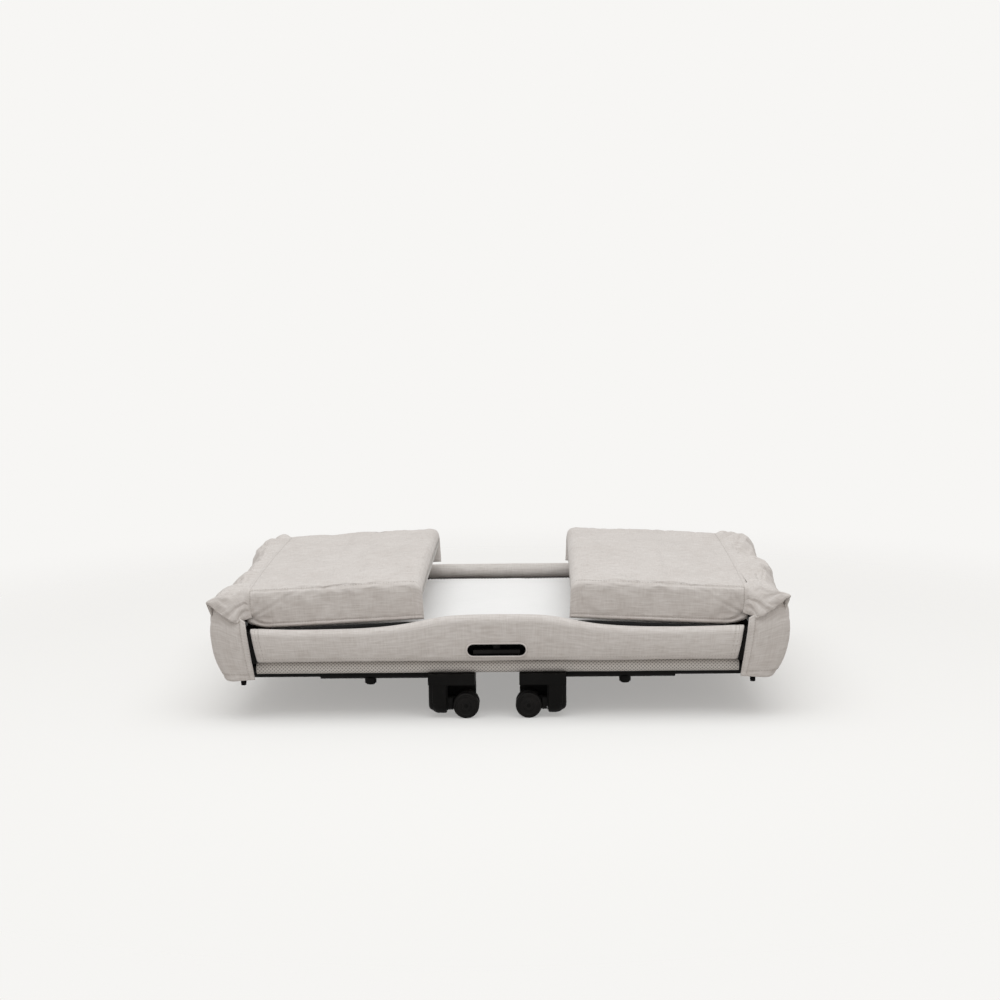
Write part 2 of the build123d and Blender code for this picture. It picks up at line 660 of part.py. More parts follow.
def rear_end_plugs(label):
    with BuildPart() as plugs:
        for side in SIDES.values():
            with BuildSketch(side_view(side * (REAR_SLEEVE_HALF + 0.2))):
                with Locations((REAR_RAIL_Y, REAR_RAIL_Z)):
                    Circle(REAR_SLEEVE_RADIUS - 0.5)
            extrude(amount=side * 8)
            with BuildSketch(side_view(side * (REAR_SLEEVE_HALF + 1))):
                with Locations((REAR_RAIL_Y, REAR_RAIL_Z)):
                    Circle(RAIL_TUBE_RADIUS - TUBE_WALL - 0.1)
            extrude(amount=-side * SPIGOT_LENGTH)
    save(plugs.part, label)


# End walls


def wall_pad(side, label):
    with BuildPart() as pad:
        # Panel with a return down each long edge and a crowned top
        with BuildSketch(wall_section_plane(side, WALL_START)):
            with BuildLine():
                Polyline(
                    (-WALL_HALF_DEPTH, WALL_RISE),
                    (-WALL_HALF_DEPTH, -RETURN_DROP),
                    (WALL_HALF_DEPTH, -RETURN_DROP),
                    (WALL_HALF_DEPTH, WALL_RISE),
                )
                crown = (0, WALL_RISE + WALL_CROWN)
                ThreePointArc((-WALL_HALF_DEPTH, WALL_RISE), crown, (WALL_HALF_DEPTH, WALL_RISE))
            face = make_face()
            fillet(face.vertices().group_by(Axis.Y)[-1], radius=WALL_EDGE_RADIUS)
        extrude(amount=WALL_LENGTH - WALL_START)
        with BuildSketch(wall_section_plane(side, 0)):
            hollow = PANEL_UNDER + RETURN_DROP + 1
            with Locations((0, PANEL_UNDER - hollow / 2)):
                Rectangle(2 * (WALL_HALF_DEPTH - RETURN_THICKNESS), hollow)
        extrude(amount=WALL_LENGTH + 1, mode=Mode.SUBTRACT)
        # Corner of the returns cut back round the hinge
        with BuildSketch(wall_side_plane(side)):
            with BuildLine():
                bottom = (RETURN_CUT_U, -RETURN_DROP)
                top = (WALL_START, RETURN_CUT_V)
                RadiusArc(bottom, top, 60 * side)
                below = -RETURN_DROP - 2
                Polyline(top, (-2, RETURN_CUT_V), (-2, below), (RETURN_CUT_U, below), bottom)
            make_face()
        extrude(amount=WALL_HALF_DEPTH + 1, both=True, mode=Mode.SUBTRACT)
    save(pad.part, label)


def wall_frame(side, label):
    with BuildPart() as frame:
        with BuildLine(wall_flat_plane(side, WALL_TUBE_V)) as path:
            FilletPolyline(
                (WALL_TUBE_START, -WALL_TUBE_Y),
                (WALL_TUBE_END, -WALL_TUBE_Y),
                (WALL_TUBE_END, WALL_TUBE_Y),
                (WALL_TUBE_START, WALL_TUBE_Y),
                radius=WALL_TUBE_BEND,
            )
        with BuildSketch(Plane(origin=path.line @ 0, z_dir=path.line % 0)):
            Circle(WALL_TUBE_RADIUS)
            Circle(WALL_TUBE_RADIUS - TUBE_WALL, mode=Mode.SUBTRACT)
        sweep(path=path.line)
    save(frame.part, label)


def wall_board(side, label):
    inner_end = WALL_TUBE_END - WALL_TUBE_RADIUS - 1
    half = WALL_TUBE_Y - WALL_TUBE_RADIUS - 1
    with BuildPart() as board:
        with BuildSketch(wall_flat_plane(side, PANEL_UNDER - SLIP - WALL_BOARD)):
            with Locations(((WALL_TUBE_START + inner_end) / 2, 0)):
                RectangleRounded(inner_end - WALL_TUBE_START, 2 * half, WALL_TUBE_BEND - WALL_TUBE_RADIUS)
        extrude(amount=WALL_BOARD)
    save(board.part, label)


def wall_knuckles(side, label):
    with BuildPart() as knuckles:
        for end in ENDS.values():
            plate = wall_side_plane(side).offset(end * WALL_TUBE_Y)
            # Arm from the pin to the tube's end
            with BuildSketch(plate):
                Circle(KNUCKLE_RADIUS)
                with Locations((WALL_TUBE_START / 2 + 1.5, WALL_TUBE_V)):
                    Rectangle(WALL_TUBE_START - 4, 2 * WALL_TUBE_RADIUS - 2)
                make_hull()
            extrude(amount=WALL_KNUCKLE_WIDTH / 2, both=True)
            # Spigot in the tube
            root = plate.from_local_coords((WALL_TUBE_START - 1, WALL_TUBE_V, 0))
            with BuildSketch(Plane(origin=root, z_dir=plate.x_dir)):
                Circle(WALL_TUBE_RADIUS - TUBE_WALL - 0.1)
            extrude(amount=SPIGOT_LENGTH)
            with BuildSketch(plate):
                Circle(PIN_RADIUS + RUNNING)
            extrude(amount=WALL_KNUCKLE_WIDTH, both=True, mode=Mode.SUBTRACT)
    save(knuckles.part, label)


# Legs

LEG_TUBE_START_X = LEG_PIVOT_X - KNUCKLE_RADIUS - 0.5
SLEEVE_BOTTOM = LEG_Z - SLEEVE_RADIUS


def leg_tubes(side, label):
    length = LEG_TUBE_START_X - LEG_TUBE_END_X
    with BuildPart() as tubes:
        with BuildSketch(side_view(side * LEG_TUBE_END_X)):
            with Locations((-LEG_Y, LEG_Z), (LEG_Y, LEG_Z)):
                Circle(LEG_TUBE_RADIUS)
                Circle(LEG_TUBE_RADIUS - TUBE_WALL, mode=Mode.SUBTRACT)
        extrude(amount=side * length)
        # Height holes in the underside
        hole_x = side * (BUTTON_X + HEIGHT_PITCH * (HEIGHT_HOLES - 1) / 2)
        with BuildSketch(Plane.XY.offset(LEG_Z)):
            with Locations((hole_x, 0)):
                with GridLocations(HEIGHT_PITCH, 2 * LEG_Y, HEIGHT_HOLES, 2):
                    Circle(BUTTON_STEM_RADIUS + 0.6)
        extrude(amount=-LEG_TUBE_RADIUS - 1, mode=Mode.SUBTRACT)
    save(tubes.part, label)


def leg_knuckles(side, label):
    with BuildPart() as knuckles:
        for end in ENDS.values():
            with BuildSketch(front_view(end * LEG_Y)):
                with Locations((side * LEG_PIVOT_X, LEG_Z)):
                    Circle(KNUCKLE_RADIUS)
            extrude(amount=LEG_KNUCKLE_WIDTH / 2, both=True)
            with BuildSketch(side_view(side * LEG_PIVOT_X)):
                with Locations((end * LEG_Y, LEG_Z)):
                    Circle(LEG_TUBE_RADIUS - TUBE_WALL - 0.1)
            extrude(amount=-side * (KNUCKLE_RADIUS + SPIGOT_LENGTH))
            with BuildSketch(front_view(end * LEG_Y)):
                with Locations((side * LEG_PIVOT_X, LEG_Z)):
                    Circle(PIN_RADIUS + RUNNING)
            extrude(amount=LEG_KNUCKLE_WIDTH, both=True, mode=Mode.SUBTRACT)
    save(knuckles.part, label)


def leg_sleeves(side, label):
    collar_bottom = SLEEVE_BOTTOM - BUTTON_DROP + 2.4
    with BuildPart() as sleeves:
        with BuildSketch(side_view(side * SLEEVE_INNER_X)):
            with Locations((-LEG_Y, LEG_Z), (LEG_Y, LEG_Z)):
                Circle(SLEEVE_RADIUS)
        extrude(amount=side * (SLEEVE_OUTER_X - SLEEVE_INNER_X))
        # Collar of the height button
        with BuildSketch(Plane.XY.offset(collar_bottom)):
            with Locations((side * BUTTON_X, -LEG_Y), (side * BUTTON_X, LEG_Y)):
                Circle(BUTTON_RADIUS + 2)
        extrude(amount=LEG_Z - SLEEVE_BORE - 1 - collar_bottom)
        with BuildSketch(Plane.XY.offset(collar_bottom)):
            with Locations((side * BUTTON_X, -LEG_Y), (side * BUTTON_X, LEG_Y)):
                Circle(BUTTON_RADIUS + 0.2)
        extrude(amount=SLEEVE_BOTTOM - collar_bottom, mode=Mode.SUBTRACT)
        with BuildSketch(Plane.XY.offset(collar_bottom)):
            with Locations((side * BUTTON_X, -LEG_Y), (side * BUTTON_X, LEG_Y)):
                Circle(BUTTON_STEM_RADIUS + 0.3)
        extrude(amount=LEG_Z - collar_bottom, mode=Mode.SUBTRACT)
        # Bore for the leg tube
        with BuildSketch(side_view(side * (SLEEVE_INNER_X - 1))):
            with Locations((-LEG_Y, LEG_Z), (LEG_Y, LEG_Z)):
                Circle(SLEEVE_BORE)
        extrude(amount=side * (SLEEVE_OUTER_X - SLEEVE_INNER_X + 2), mode=Mode.SUBTRACT)
    save(sleeves.part, label)


def height_button(side, end, label):
    face = SLEEVE_BOTTOM - BUTTON_DROP
    cap_height = BUTTON_DROP - BUTTON_TRAVEL - SLIP
    with BuildPart() as button:
        with BuildSketch(Plane.XY.offset(face)):
            with Locations((side * BUTTON_X, end * LEG_Y)):
                Circle(BUTTON_RADIUS)
        extrude(amount=cap_height)
        chamfer(button.edges().group_by(Axis.Z)[0], length=1)
        with BuildSketch(Plane.XY.offset(face + cap_height)):
            with Locations((side * BUTTON_X, end * LEG_Y)):
                Circle(BUTTON_STEM_RADIUS)
        extrude(amount=LEG_Z - SLEEVE_BORE - 0.5 - face - cap_height)
    save(button.part, label)


BAR_POCKET = 15.0
FOOT_SOCKET_INNER_Y = LEG_Y - SLEEVE_RADIUS - 3.0
FOOT_FRONT_Y = HALF_DEPTH - 3.0
FOOT_TOP = LEG_Z + SLEEVE_RADIUS + 1.5
FOOT_LOW_TOP = BASE_TUBE_Z - HEM_RADIUS - 1.0


def foot_profile(end, bottom):
    """Section of the foot end across X, stepped down to pass under the base tube."""
    step_y = BASE_TUBE_Y - HEM_RADIUS
    points = (
        (FOOT_SOCKET_INNER_Y, bottom),
        (FOOT_SOCKET_INNER_Y, FOOT_TOP),
        (step_y - 2.2, FOOT_TOP),
        (step_y - 1.2, FOOT_LOW_TOP + 5),
        (step_y + 3.5, FOOT_LOW_TOP),
        (FOOT_FRONT_Y, FOOT_LOW_TOP),
        (FOOT_FRONT_Y, bottom),
    )
    return [(end * y, z) for y, z in points]


def foot_ends(side, label):
    with BuildPart() as feet:
        for end in ENDS.values():
            # Deep part round the sleeve, shallow part over the castor
            with BuildSketch(side_view(side * LOBE_X)):
                with BuildLine():
                    Polyline(*foot_profile(end, SLEEVE_BOTTOM - 3), close=True)
                make_face()
            extrude(amount=side * LOBE_LENGTH)
            with BuildSketch(side_view(side * FOOT_INNER_X)):
                with BuildLine():
                    Polyline(*foot_profile(end, FOOT_BLOCK_BOTTOM), close=True)
                make_face()
            extrude(amount=side * (LOBE_X - FOOT_INNER_X))
            # Guard behind the castor, clear of its sweep
            guard_inner = FOOT_SOCKET_INNER_Y
            guard_outer = CASTOR_Y - CASTOR_SWEEP - 1
            with BuildSketch(front_view(end * (guard_inner + guard_outer) / 2)):
                with Locations((side * (FOOT_INNER_X + LOBE_X) / 2, (SWIVEL_Z + FOOT_BLOCK_BOTTOM + 1) / 2)):
                    Rectangle(LOBE_X - FOOT_INNER_X, FOOT_BLOCK_BOTTOM + 1 - SWIVEL_Z)
            extrude(amount=(guard_outer - guard_inner) / 2, both=True)
            # Lobe that carries the castor's stem
            with BuildSketch(side_view(side * LOBE_X)):
                with Locations((end * CASTOR_Y, SWIVEL_Z)):
                    Circle(LOBE_RADIUS)
                with Locations((end * CASTOR_Y, (SWIVEL_Z + FOOT_LOW_TOP) / 2)):
                    Rectangle(2 * LOBE_RADIUS, FOOT_LOW_TOP - SWIVEL_Z)
            extrude(amount=side * LOBE_LENGTH)
            # Sockets of the sleeve, the foot bar and the castor's stem
            with BuildSketch(side_view(side * (SLEEVE_INNER_X - 0.3))):
                with Locations((end * LEG_Y, LEG_Z)):
                    Circle(SLEEVE_RADIUS + 0.1)
            extrude(amount=side * LOBE_LENGTH, mode=Mode.SUBTRACT)
            with BuildSketch(front_view(end * (FOOT_SOCKET_INNER_Y - 1))):
                with Locations((side * FOOT_BAR_X, LEG_Z)):
                    Circle(FOOT_BAR_RADIUS + 0.1)
            extrude(amount=-end * (BAR_POCKET + 1), mode=Mode.SUBTRACT)
            with BuildSketch(side_view(side * (LOBE_X - 1))):
                with Locations((end * CASTOR_Y, SWIVEL_Z)):
                    Circle(STEM_RADIUS + RUNNING)
            extrude(amount=side * (STEM_LENGTH + 2), mode=Mode.SUBTRACT)
        outer_x = feet.edges().group_by(Axis.X)[-1 if side > 0 else 0]
        fillet(outer_x.filter_by(GeomType.CIRCLE).sort_by(Axis.Z)[0:2], radius=8)
    save(feet.part, label)


def foot_bar(side, label):
    with BuildPart() as bar:
        with BuildSketch(front_view(0)):
            with Locations((side * FOOT_BAR_X, LEG_Z)):
                Circle(FOOT_BAR_RADIUS)
                Circle(FOOT_BAR_RADIUS - TUBE_WALL, mode=Mode.SUBTRACT)
        extrude(amount=FOOT_SOCKET_INNER_Y + BAR_POCKET - 0.3, both=True)
    save(bar.part, label)


# Castors


def castor_fork(side, end, label):
    y = end * CASTOR_Y
    with BuildPart() as fork:
        # Plate between the wheels, with a hood over them
        with BuildSketch(front_view(y)):
            with Locations((side * WHEEL_X, WHEEL_RADIUS)):
                Circle(WHEEL_RADIUS * 0.55)
            with Locations((side * (FLANGE_X + 1), SWIVEL_Z)):
                Rectangle(2, 20)
            make_hull()
        extrude(amount=FORK_THICKNESS / 2, both=True)
        # Flange and stem on the swivel axis
        with BuildSketch(side_view(side * FLANGE_X)):
            with Locations((y, SWIVEL_Z)):
                Circle(LOBE_RADIUS - 1)
        extrude(amount=side * FLANGE_LENGTH)
        with BuildSketch(side_view(side * (FLANGE_X + FLANGE_LENGTH - 1))):
            with Locations((y, SWIVEL_Z)):
                Circle(STEM_RADIUS)
        extrude(amount=side * (STEM_LENGTH + 1))
        # Axle through the plate
        with BuildSketch(front_view(y)):
            with Locations((side * WHEEL_X, WHEEL_RADIUS)):
                Circle(AXLE_RADIUS)
        extrude(amount=CASTOR_HALF_WIDTH - 1, both=True)
    save(fork.part, label)


def castor_wheels(side, end, label):
    with BuildPart() as wheels:
        for offset_y in (-WHEEL_OFFSET, WHEEL_OFFSET):
            with BuildSketch(front_view(end * CASTOR_Y + offset_y)):
                with Locations((side * WHEEL_X, WHEEL_RADIUS)):
                    Circle(WHEEL_RADIUS)
                    Circle(AXLE_RADIUS + RUNNING, mode=Mode.SUBTRACT)
            extrude(amount=WHEEL_WIDTH / 2, both=True)
        rims = wheels.edges().filter_by(GeomType.CIRCLE).group_by(SortBy.RADIUS)[-1]
        fillet(rims, radius=2)
    save(wheels.part, label)


base_tube(-1, "base_tube_front")
base_tube(1, "base_tube_rear")
hinge_pins(HINGE_X, HINGE_Z, WALL_TUBE_Y, EAR_OUTER_Y - EAR_INNER_Y + PLATE_THICKNESS, "wall_hinge_pins")
hinge_pins(LEG_PIVOT_X, LEG_Z, LEG_Y, LEG_PIN_LENGTH, "leg_hinge_pins")
corner_feet("corner_feet")
floor_board("floor_board")
mattress("mattress")
mesh_side(-1, "front_mesh")
mesh_side(1, "rear_mesh")

front_rail_tube("front_rail_tube")
front_rail_pad("front_rail_pad")
handle_bezel("handle_bezel")
press_bar("press_bar")
rear_rail_tube("rear_rail_tube")
rear_rail_sleeve("rear_rail_sleeve")
rear_end_plugs("rear_end_plugs")

for side_name, side_sign in SIDES.items():
    end_beam(side_sign, f"end_beam_{side_name}")
    end_cap(side_sign, f"end_cap_{side_name}")
    hinge_cover(side_sign, f"hinge_cover_{side_name}")
    latch_rod(side_sign, f"latch_rod_{side_name}")
    rail_end_bracket(side_sign, f"rail_end_bracket_{side_name}")
    wall_pad(side_sign, f"wall_pad_{side_name}")
    wall_frame(side_sign, f"wall_frame_{side_name}")
    wall_board(side_sign, f"wall_board_{side_name}")
    wall_knuckles(side_sign, f"wall_knuckles_{side_name}")
    leg_tubes(side_sign, f"leg_tubes_{side_name}")
    leg_knuckles(side_sign, f"leg_knuckles_{side_name}")
    leg_sleeves(side_sign, f"leg_sleeves_{side_name}")
    foot_ends(side_sign, f"foot_ends_{side_name}")
    foot_bar(side_sign, f"foot_bar_{side_name}")
    for end_name, end_sign in ENDS.items():
        corner_bracket(side_sign, end_sign, f"corner_bracket_{side_name}_{end_name}")
        height_button(side_sign, end_sign, f"height_button_{side_name}_{end_name}")
        castor_fork(side_sign, end_sign, f"castor_fork_{side_name}_{end_name}")
        castor_wheels(side_sign, end_sign, f"castor_wheels_{side_name}_{end_name}")
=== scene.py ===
from bisect import bisect_right
from math import atan2, cos, exp, hypot, pi, radians, sin, sqrt

import bmesh
import bpy
from mathutils import Matrix, Vector, noise
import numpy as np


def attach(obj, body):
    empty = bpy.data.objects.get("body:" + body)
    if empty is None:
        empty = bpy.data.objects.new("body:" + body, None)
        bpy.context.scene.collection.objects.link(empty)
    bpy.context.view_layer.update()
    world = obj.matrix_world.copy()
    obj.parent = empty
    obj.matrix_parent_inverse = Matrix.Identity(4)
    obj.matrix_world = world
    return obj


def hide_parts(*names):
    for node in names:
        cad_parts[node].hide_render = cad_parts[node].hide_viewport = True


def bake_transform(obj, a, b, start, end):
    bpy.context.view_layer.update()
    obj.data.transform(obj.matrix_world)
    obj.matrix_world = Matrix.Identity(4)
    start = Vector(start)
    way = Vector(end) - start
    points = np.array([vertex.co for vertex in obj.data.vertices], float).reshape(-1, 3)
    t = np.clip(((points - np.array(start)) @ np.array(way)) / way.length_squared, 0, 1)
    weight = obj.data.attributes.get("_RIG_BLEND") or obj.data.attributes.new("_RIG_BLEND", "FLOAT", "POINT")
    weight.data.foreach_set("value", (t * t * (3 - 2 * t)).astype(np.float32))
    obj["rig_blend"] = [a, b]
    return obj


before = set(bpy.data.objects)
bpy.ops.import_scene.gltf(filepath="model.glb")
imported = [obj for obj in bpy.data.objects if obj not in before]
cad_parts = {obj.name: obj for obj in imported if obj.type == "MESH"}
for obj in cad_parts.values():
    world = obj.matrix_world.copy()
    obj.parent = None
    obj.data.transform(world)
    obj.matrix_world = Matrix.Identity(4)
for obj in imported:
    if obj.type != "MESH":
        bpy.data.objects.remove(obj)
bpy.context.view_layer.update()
scene = bpy.context.scene
scene.view_settings.view_transform = "Standard"

# A bedside travel crib, folded flat. Sizes are in millimetres, as the part has them.
MM = 0.001
SIDES = {"left": -1, "right": 1}
ENDS = {"front": -1, "rear": 1}

HINGE_X = 388.0
HINGE_Z = 146.0
WALL_TILT = radians(2.8)
WALL_START = 2.0
WALL_LENGTH = 276.0
WALL_HALF = 260.0
WALL_RISE = 51.5
WALL_CROWN = 4.0
WALL_PADDING = 13.0
HEM_V = -9.0
EDGE_RADIUS = 12.0

CAP_BOTTOM = 63.0
CAP_CORNER = 15.0
CAP_PADDING = 5.0

RAIL_Y = -276.0
RAIL_BOTTOM = 89.5
RAIL_HALF_THICKNESS = 14.0
SLOT_Z = 109.25
SLOT_HALF = 46.0
SLOT_RADIUS = 10.25

REAR_RAIL_Y = 276.0
REAR_RAIL_Z = 130.0
BASE_TUBE_Y = 268.0
BASE_TUBE_Z = 80.0

# Distances along the outside of a wing, from its front hem over the top
RETURN_RUN = WALL_RISE - EDGE_RADIUS - HEM_V
BEND_RUN = EDGE_RADIUS * pi / 2
TOP_RUN = 2 * (WALL_HALF - EDGE_RADIUS)
WING_GIRTH = 2 * (RETURN_RUN + BEND_RUN) + TOP_RUN
WING_SEAM = RETURN_RUN + 0.6 * BEND_RUN


# Measures and shapes


def linear(colour):
    """An sRGB hex colour as linear red, green, blue and alpha."""
    shares = [int(colour[place:place + 2], 16) / 255 for place in (1, 3, 5)]
    return [c / 12.92 if c <= 0.04045 else ((c + 0.055) / 1.055) ** 2.4 for c in shares] + [1.0]


def hump(at, middle, width):
    """A soft hump of height 1."""
    return exp(-((at - middle) / width) ** 2)


def ease(at, start, end):
    """0 before start and 1 after end, smooth in between."""
    share = min(1.0, max(0.0, (at - start) / (end - start)))
    return share * share * (3 - 2 * share)


def rounding(edge, radius):
    """Share of its full half thickness that a pad has at a distance from its edge."""
    short = 1 - min(max(edge, 0.0), radius) / radius
    return sqrt(1 - short * short)


def ripple(x, y, seed):
    """Uneven cloth, from -1 to 1, with waves about 1 long."""
    return noise.noise(Vector((x, y, seed * 7.31)))


def follow(stops, at):
    """The value at a place, on a smooth line through stops of place and value."""
    places = [stop[0] for stop in stops]
    if at <= places[0]:
        return stops[0][1]
    if at >= places[-1]:
        return stops[-1][1]
    first = bisect_right(places, at) - 1
    before = stops[max(first - 1, 0)]
    start = stops[first]
    end = stops[first + 1]
    after = stops[min(first + 2, len(stops) - 1)]
    span = end[0] - start[0]
    share = (at - start[0]) / span
    leave = (end[1] - before[1]) * (span / (end[0] - before[0]))
    arrive = (after[1] - start[1]) * (span / (after[0] - start[0]))
    square = share * share
    cube = square * share
    value = start[1] * (2 * cube - 3 * square + 1)
    value = value + leave * (cube - 2 * square + share)
    value = value + end[1] * (3 * square - 2 * cube)
    return value + arrive * (cube - square)


def divide(start, *spans):
    """Places from start on, with each span of end and pitch cut into even steps."""
    places = [start]
    for end, pitch in spans:
        begin = places[-1]
        count = max(1, round((end - begin) / pitch))
        places += [begin + (end - begin) * step / count for step in range(1, count + 1)]
    return places


# Meshes


def lay_cloth(bm, across, along, place, held=None):
    """Adds a grid over two lists of places, put where place says, with the lists as its UVs.

    Where held is given, it says how firmly the cloth is held at a place, from 0 to 1.
    """
    columns = len(across) - 1
    rows = len(along) - 1
    for vert in bm.verts:
        vert.tag = True
    bmesh.ops.create_grid(bm, x_segments=columns, y_segments=rows, size=0.5)
    layer = bm.loops.layers.uv.verify()
    grip = bm.verts.layers.float.get("held") or bm.verts.layers.float.new("held")
    made = [vert for vert in bm.verts if not vert.tag]
    flat = {}
    for vert in made:
        column = round((vert.co.x + 0.5) * columns)
        row = round((vert.co.y + 0.5) * rows)
        flat[vert] = (across[column], along[row])
    for face in {face for vert in made for face in vert.link_faces}:
        for loop in face.loops:
            a, b = flat[loop.vert]
            loop[layer].uv = (a * MM, b * MM)
    for vert, (a, b) in flat.items():
        vert.co = Vector(place(a, b)) * MM
        vert[grip] = held(a, b) if held else 1.0


def padded_shell(across, along, outer, inner, held=None):
    """A closed pad from an outer and an inner face that meet along their edges."""
    bm = bmesh.new()
    lay_cloth(bm, across, along, outer, held)
    lay_cloth(bm, across, along, inner)
    bmesh.ops.remove_doubles(bm, verts=bm.verts, dist=0.02 * MM)
    bmesh.ops.recalc_face_normals(bm, faces=bm.faces)
    return bm


def settle(bm, growth, pressure, limit, steps=16):
    """Lets loose cloth wrinkle and fill, by simulation, to within a limit of where it was."""
    mesh = bpy.data.meshes.new("settling")
    bm.to_mesh(mesh)
    trial = bpy.data.objects.new("settling", mesh)
    scene.collection.objects.link(trial)
    group = trial.vertex_groups.new(name="held")
    grip = bm.verts.layers.float["held"]
    bm.verts.ensure_lookup_table()
    for vert in bm.verts:
        group.add([vert.index], vert[grip], "REPLACE")
    cloth = trial.modifiers.new("cloth", "CLOTH")
    cloth.settings.quality = 6
    cloth.settings.mass = 0.2
    cloth.settings.tension_stiffness = 12
    cloth.settings.compression_stiffness = 12
    cloth.settings.shear_stiffness = 4
    cloth.settings.bending_stiffness = 0.05
    cloth.settings.vertex_group_mass = "held"
    cloth.settings.shrink_min = -growth
    cloth.settings.shrink_max = -growth
    cloth.settings.use_pressure = pressure > 0
    cloth.settings.uniform_pressure_force = pressure
    cloth.settings.effector_weights.gravity = 0.0
    cloth.collision_settings.use_collision = False
    cloth.point_cache.frame_end = steps
    for step in range(1, steps + 1):
        scene.frame_set(step)
    settled = trial.evaluated_get(bpy.context.evaluated_depsgraph_get()).data
    for vert, moved in zip(bm.verts, settled.vertices):
        way = moved.co - vert.co
        if way.length > limit * MM:
            way *= limit * MM / way.length
        vert.co += way
    bpy.data.objects.remove(trial)
    bpy.data.meshes.remove(mesh)
    scene.frame_set(1)


def face_away(bm, centre):
    """Turns the faces of an open sheet away from a point."""
    middle = Vector(centre) * MM
    bm.normal_update()
    outwards = 0.0
    for face in bm.faces:
        away = face.calc_center_median() - middle
        outwards += face.normal.dot(away) * face.calc_area()
    if outwards < 0:
        bmesh.ops.reverse_faces(bm, faces=bm.faces)


def make_piece(name, bm, material, replaced=()):
    """An object of the mesh, with its material, that stands for these nodes."""
    mesh = bpy.data.meshes.new(name)
    bm.to_mesh(mesh)
    bm.free()
    mesh.shade_smooth()
    mesh.uv_layers[0].name = "cloth"
    mesh.materials.append(material)
    piece = bpy.data.objects.new(name, mesh)
    scene.collection.objects.link(piece)
    if replaced:
        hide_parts(*replaced)
    return piece


def subdivide(piece, levels=1):
    """Rounds a piece with a subdivision surface."""
    modifier = piece.modifiers.new("smooth", "SUBSURF")
    modifier.levels = levels
    modifier.render_levels = levels


def thicken(piece, thickness, offset=-1.0):
    """Gives a sheet its thickness in millimetres."""
    modifier = piece.modifiers.new("thickness", "SOLIDIFY")
    modifier.thickness = thickness * MM
    modifier.offset = offset


# Materials


def add_node(material, kind, inputs=None, **settings):
    """Adds a node with its settings, and sets or links its inputs."""
    tree = material.node_tree
    made = tree.nodes.new(kind)
    for name, value in settings.items():
        setattr(made, name, value)
    for name, value in (inputs or {}).items():
        if isinstance(value, bpy.types.NodeSocket):
            tree.links.new(value, made.inputs[name])
        else:
            made.inputs[name].default_value = value
    return made


def new_material(name):
    """A material with no nodes yet."""
    material = bpy.data.materials.new(name)
    material.use_nodes = True
    material.node_tree.nodes.clear()
    return material


def heathered_polyester(name, ground, fleck, contrast):
    # Polyester woven from slubbed two-tone yarn. Its slubs give short level streaks, and the
    # brushed surface has no gloss and a faint pale bloom at grazing angles.
    material = new_material(name)
    cloth = add_node(material, "ShaderNodeUVMap", uv_map="cloth").outputs[0]
    # Weft slubs 24 mm long and 2.4 mm high, three times the real yarn so that they show
    weft = add_node(
        material, "ShaderNodeMapping", {"Vector": cloth, "Scale": (1 / 0.024, 1 / 0.0024, 1)},
    )
    slubs = add_node(
        material, "ShaderNodeTexNoise", {"Vector": weft.outputs[0], "Scale": 1, "Detail": 4},
    )
    # Warp yarns 2 mm wide and 18 mm long, drawn coarse in the same way
    warp = add_node(
        material, "ShaderNodeMapping", {"Vector": cloth, "Scale": (1 / 0.002, 1 / 0.018, 1)},
    )
    yarns = add_node(
        material, "ShaderNodeTexNoise", {"Vector": warp.outputs[0], "Scale": 1, "Detail": 3},
    )
    # Dye that takes unevenly over about 90 mm
    dye = add_node(
        material, "ShaderNodeTexNoise", {"Vector": cloth, "Scale": 1 / 0.09, "Detail": 2},
    )
    both = add_node(
        material, "ShaderNodeMath",
        {0: yarns.outputs[0], 1: 0.55, 2: slubs.outputs[0]}, operation="MULTIPLY_ADD",
    )
    mixed = add_node(
        material, "ShaderNodeMath",
        {0: dye.outputs[0], 1: 0.35, 2: both.outputs[0]}, operation="MULTIPLY_ADD",
    )
    share = add_node(
        material, "ShaderNodeMapRange",
        {"Value": mixed.outputs[0], "From Min": 0.95 - contrast, "From Max": 0.95 + contrast},
    )
    colour = add_node(
        material, "ShaderNodeMix",
        {0: share.outputs[0], 6: linear(fleck), 7: linear(ground)}, data_type="RGBA",
    )
    # Plain weave of 1.4 mm, a little coarser than the real one
    picks = add_node(
        material, "ShaderNodeTexWave",
        {"Vector": cloth, "Scale": 0.314 / 0.0014, "Distortion": 1.5}, bands_direction="X",
    )
    ends = add_node(
        material, "ShaderNodeTexWave",
        {"Vector": cloth, "Scale": 0.314 / 0.0014, "Distortion": 1.5}, bands_direction="Y",
    )
    weave = add_node(
        material, "ShaderNodeMath",
        {0: picks.outputs["Fac"], 1: ends.outputs["Fac"]}, operation="MULTIPLY",
    )
    height = add_node(
        material, "ShaderNodeMath",
        {0: weave.outputs[0], 1: 0.4, 2: both.outputs[0]}, operation="MULTIPLY_ADD",
    )
    relief = add_node(
        material, "ShaderNodeBump",
        {"Height": height.outputs[0], "Strength": 0.35, "Distance": 0.0005},
    )
    shader = add_node(
        material, "ShaderNodeBsdfPrincipled",
        {
            "Base Color": colour.outputs[2],
            "Roughness": 0.92,
            "IOR": 1.45,
            "Sheen Weight": 0.18,
            "Sheen Roughness": 0.45,
            "Normal": relief.outputs[0],
        },
    )
    add_node(material, "ShaderNodeOutputMaterial", {"Surface": shader.outputs[0]})
    return material


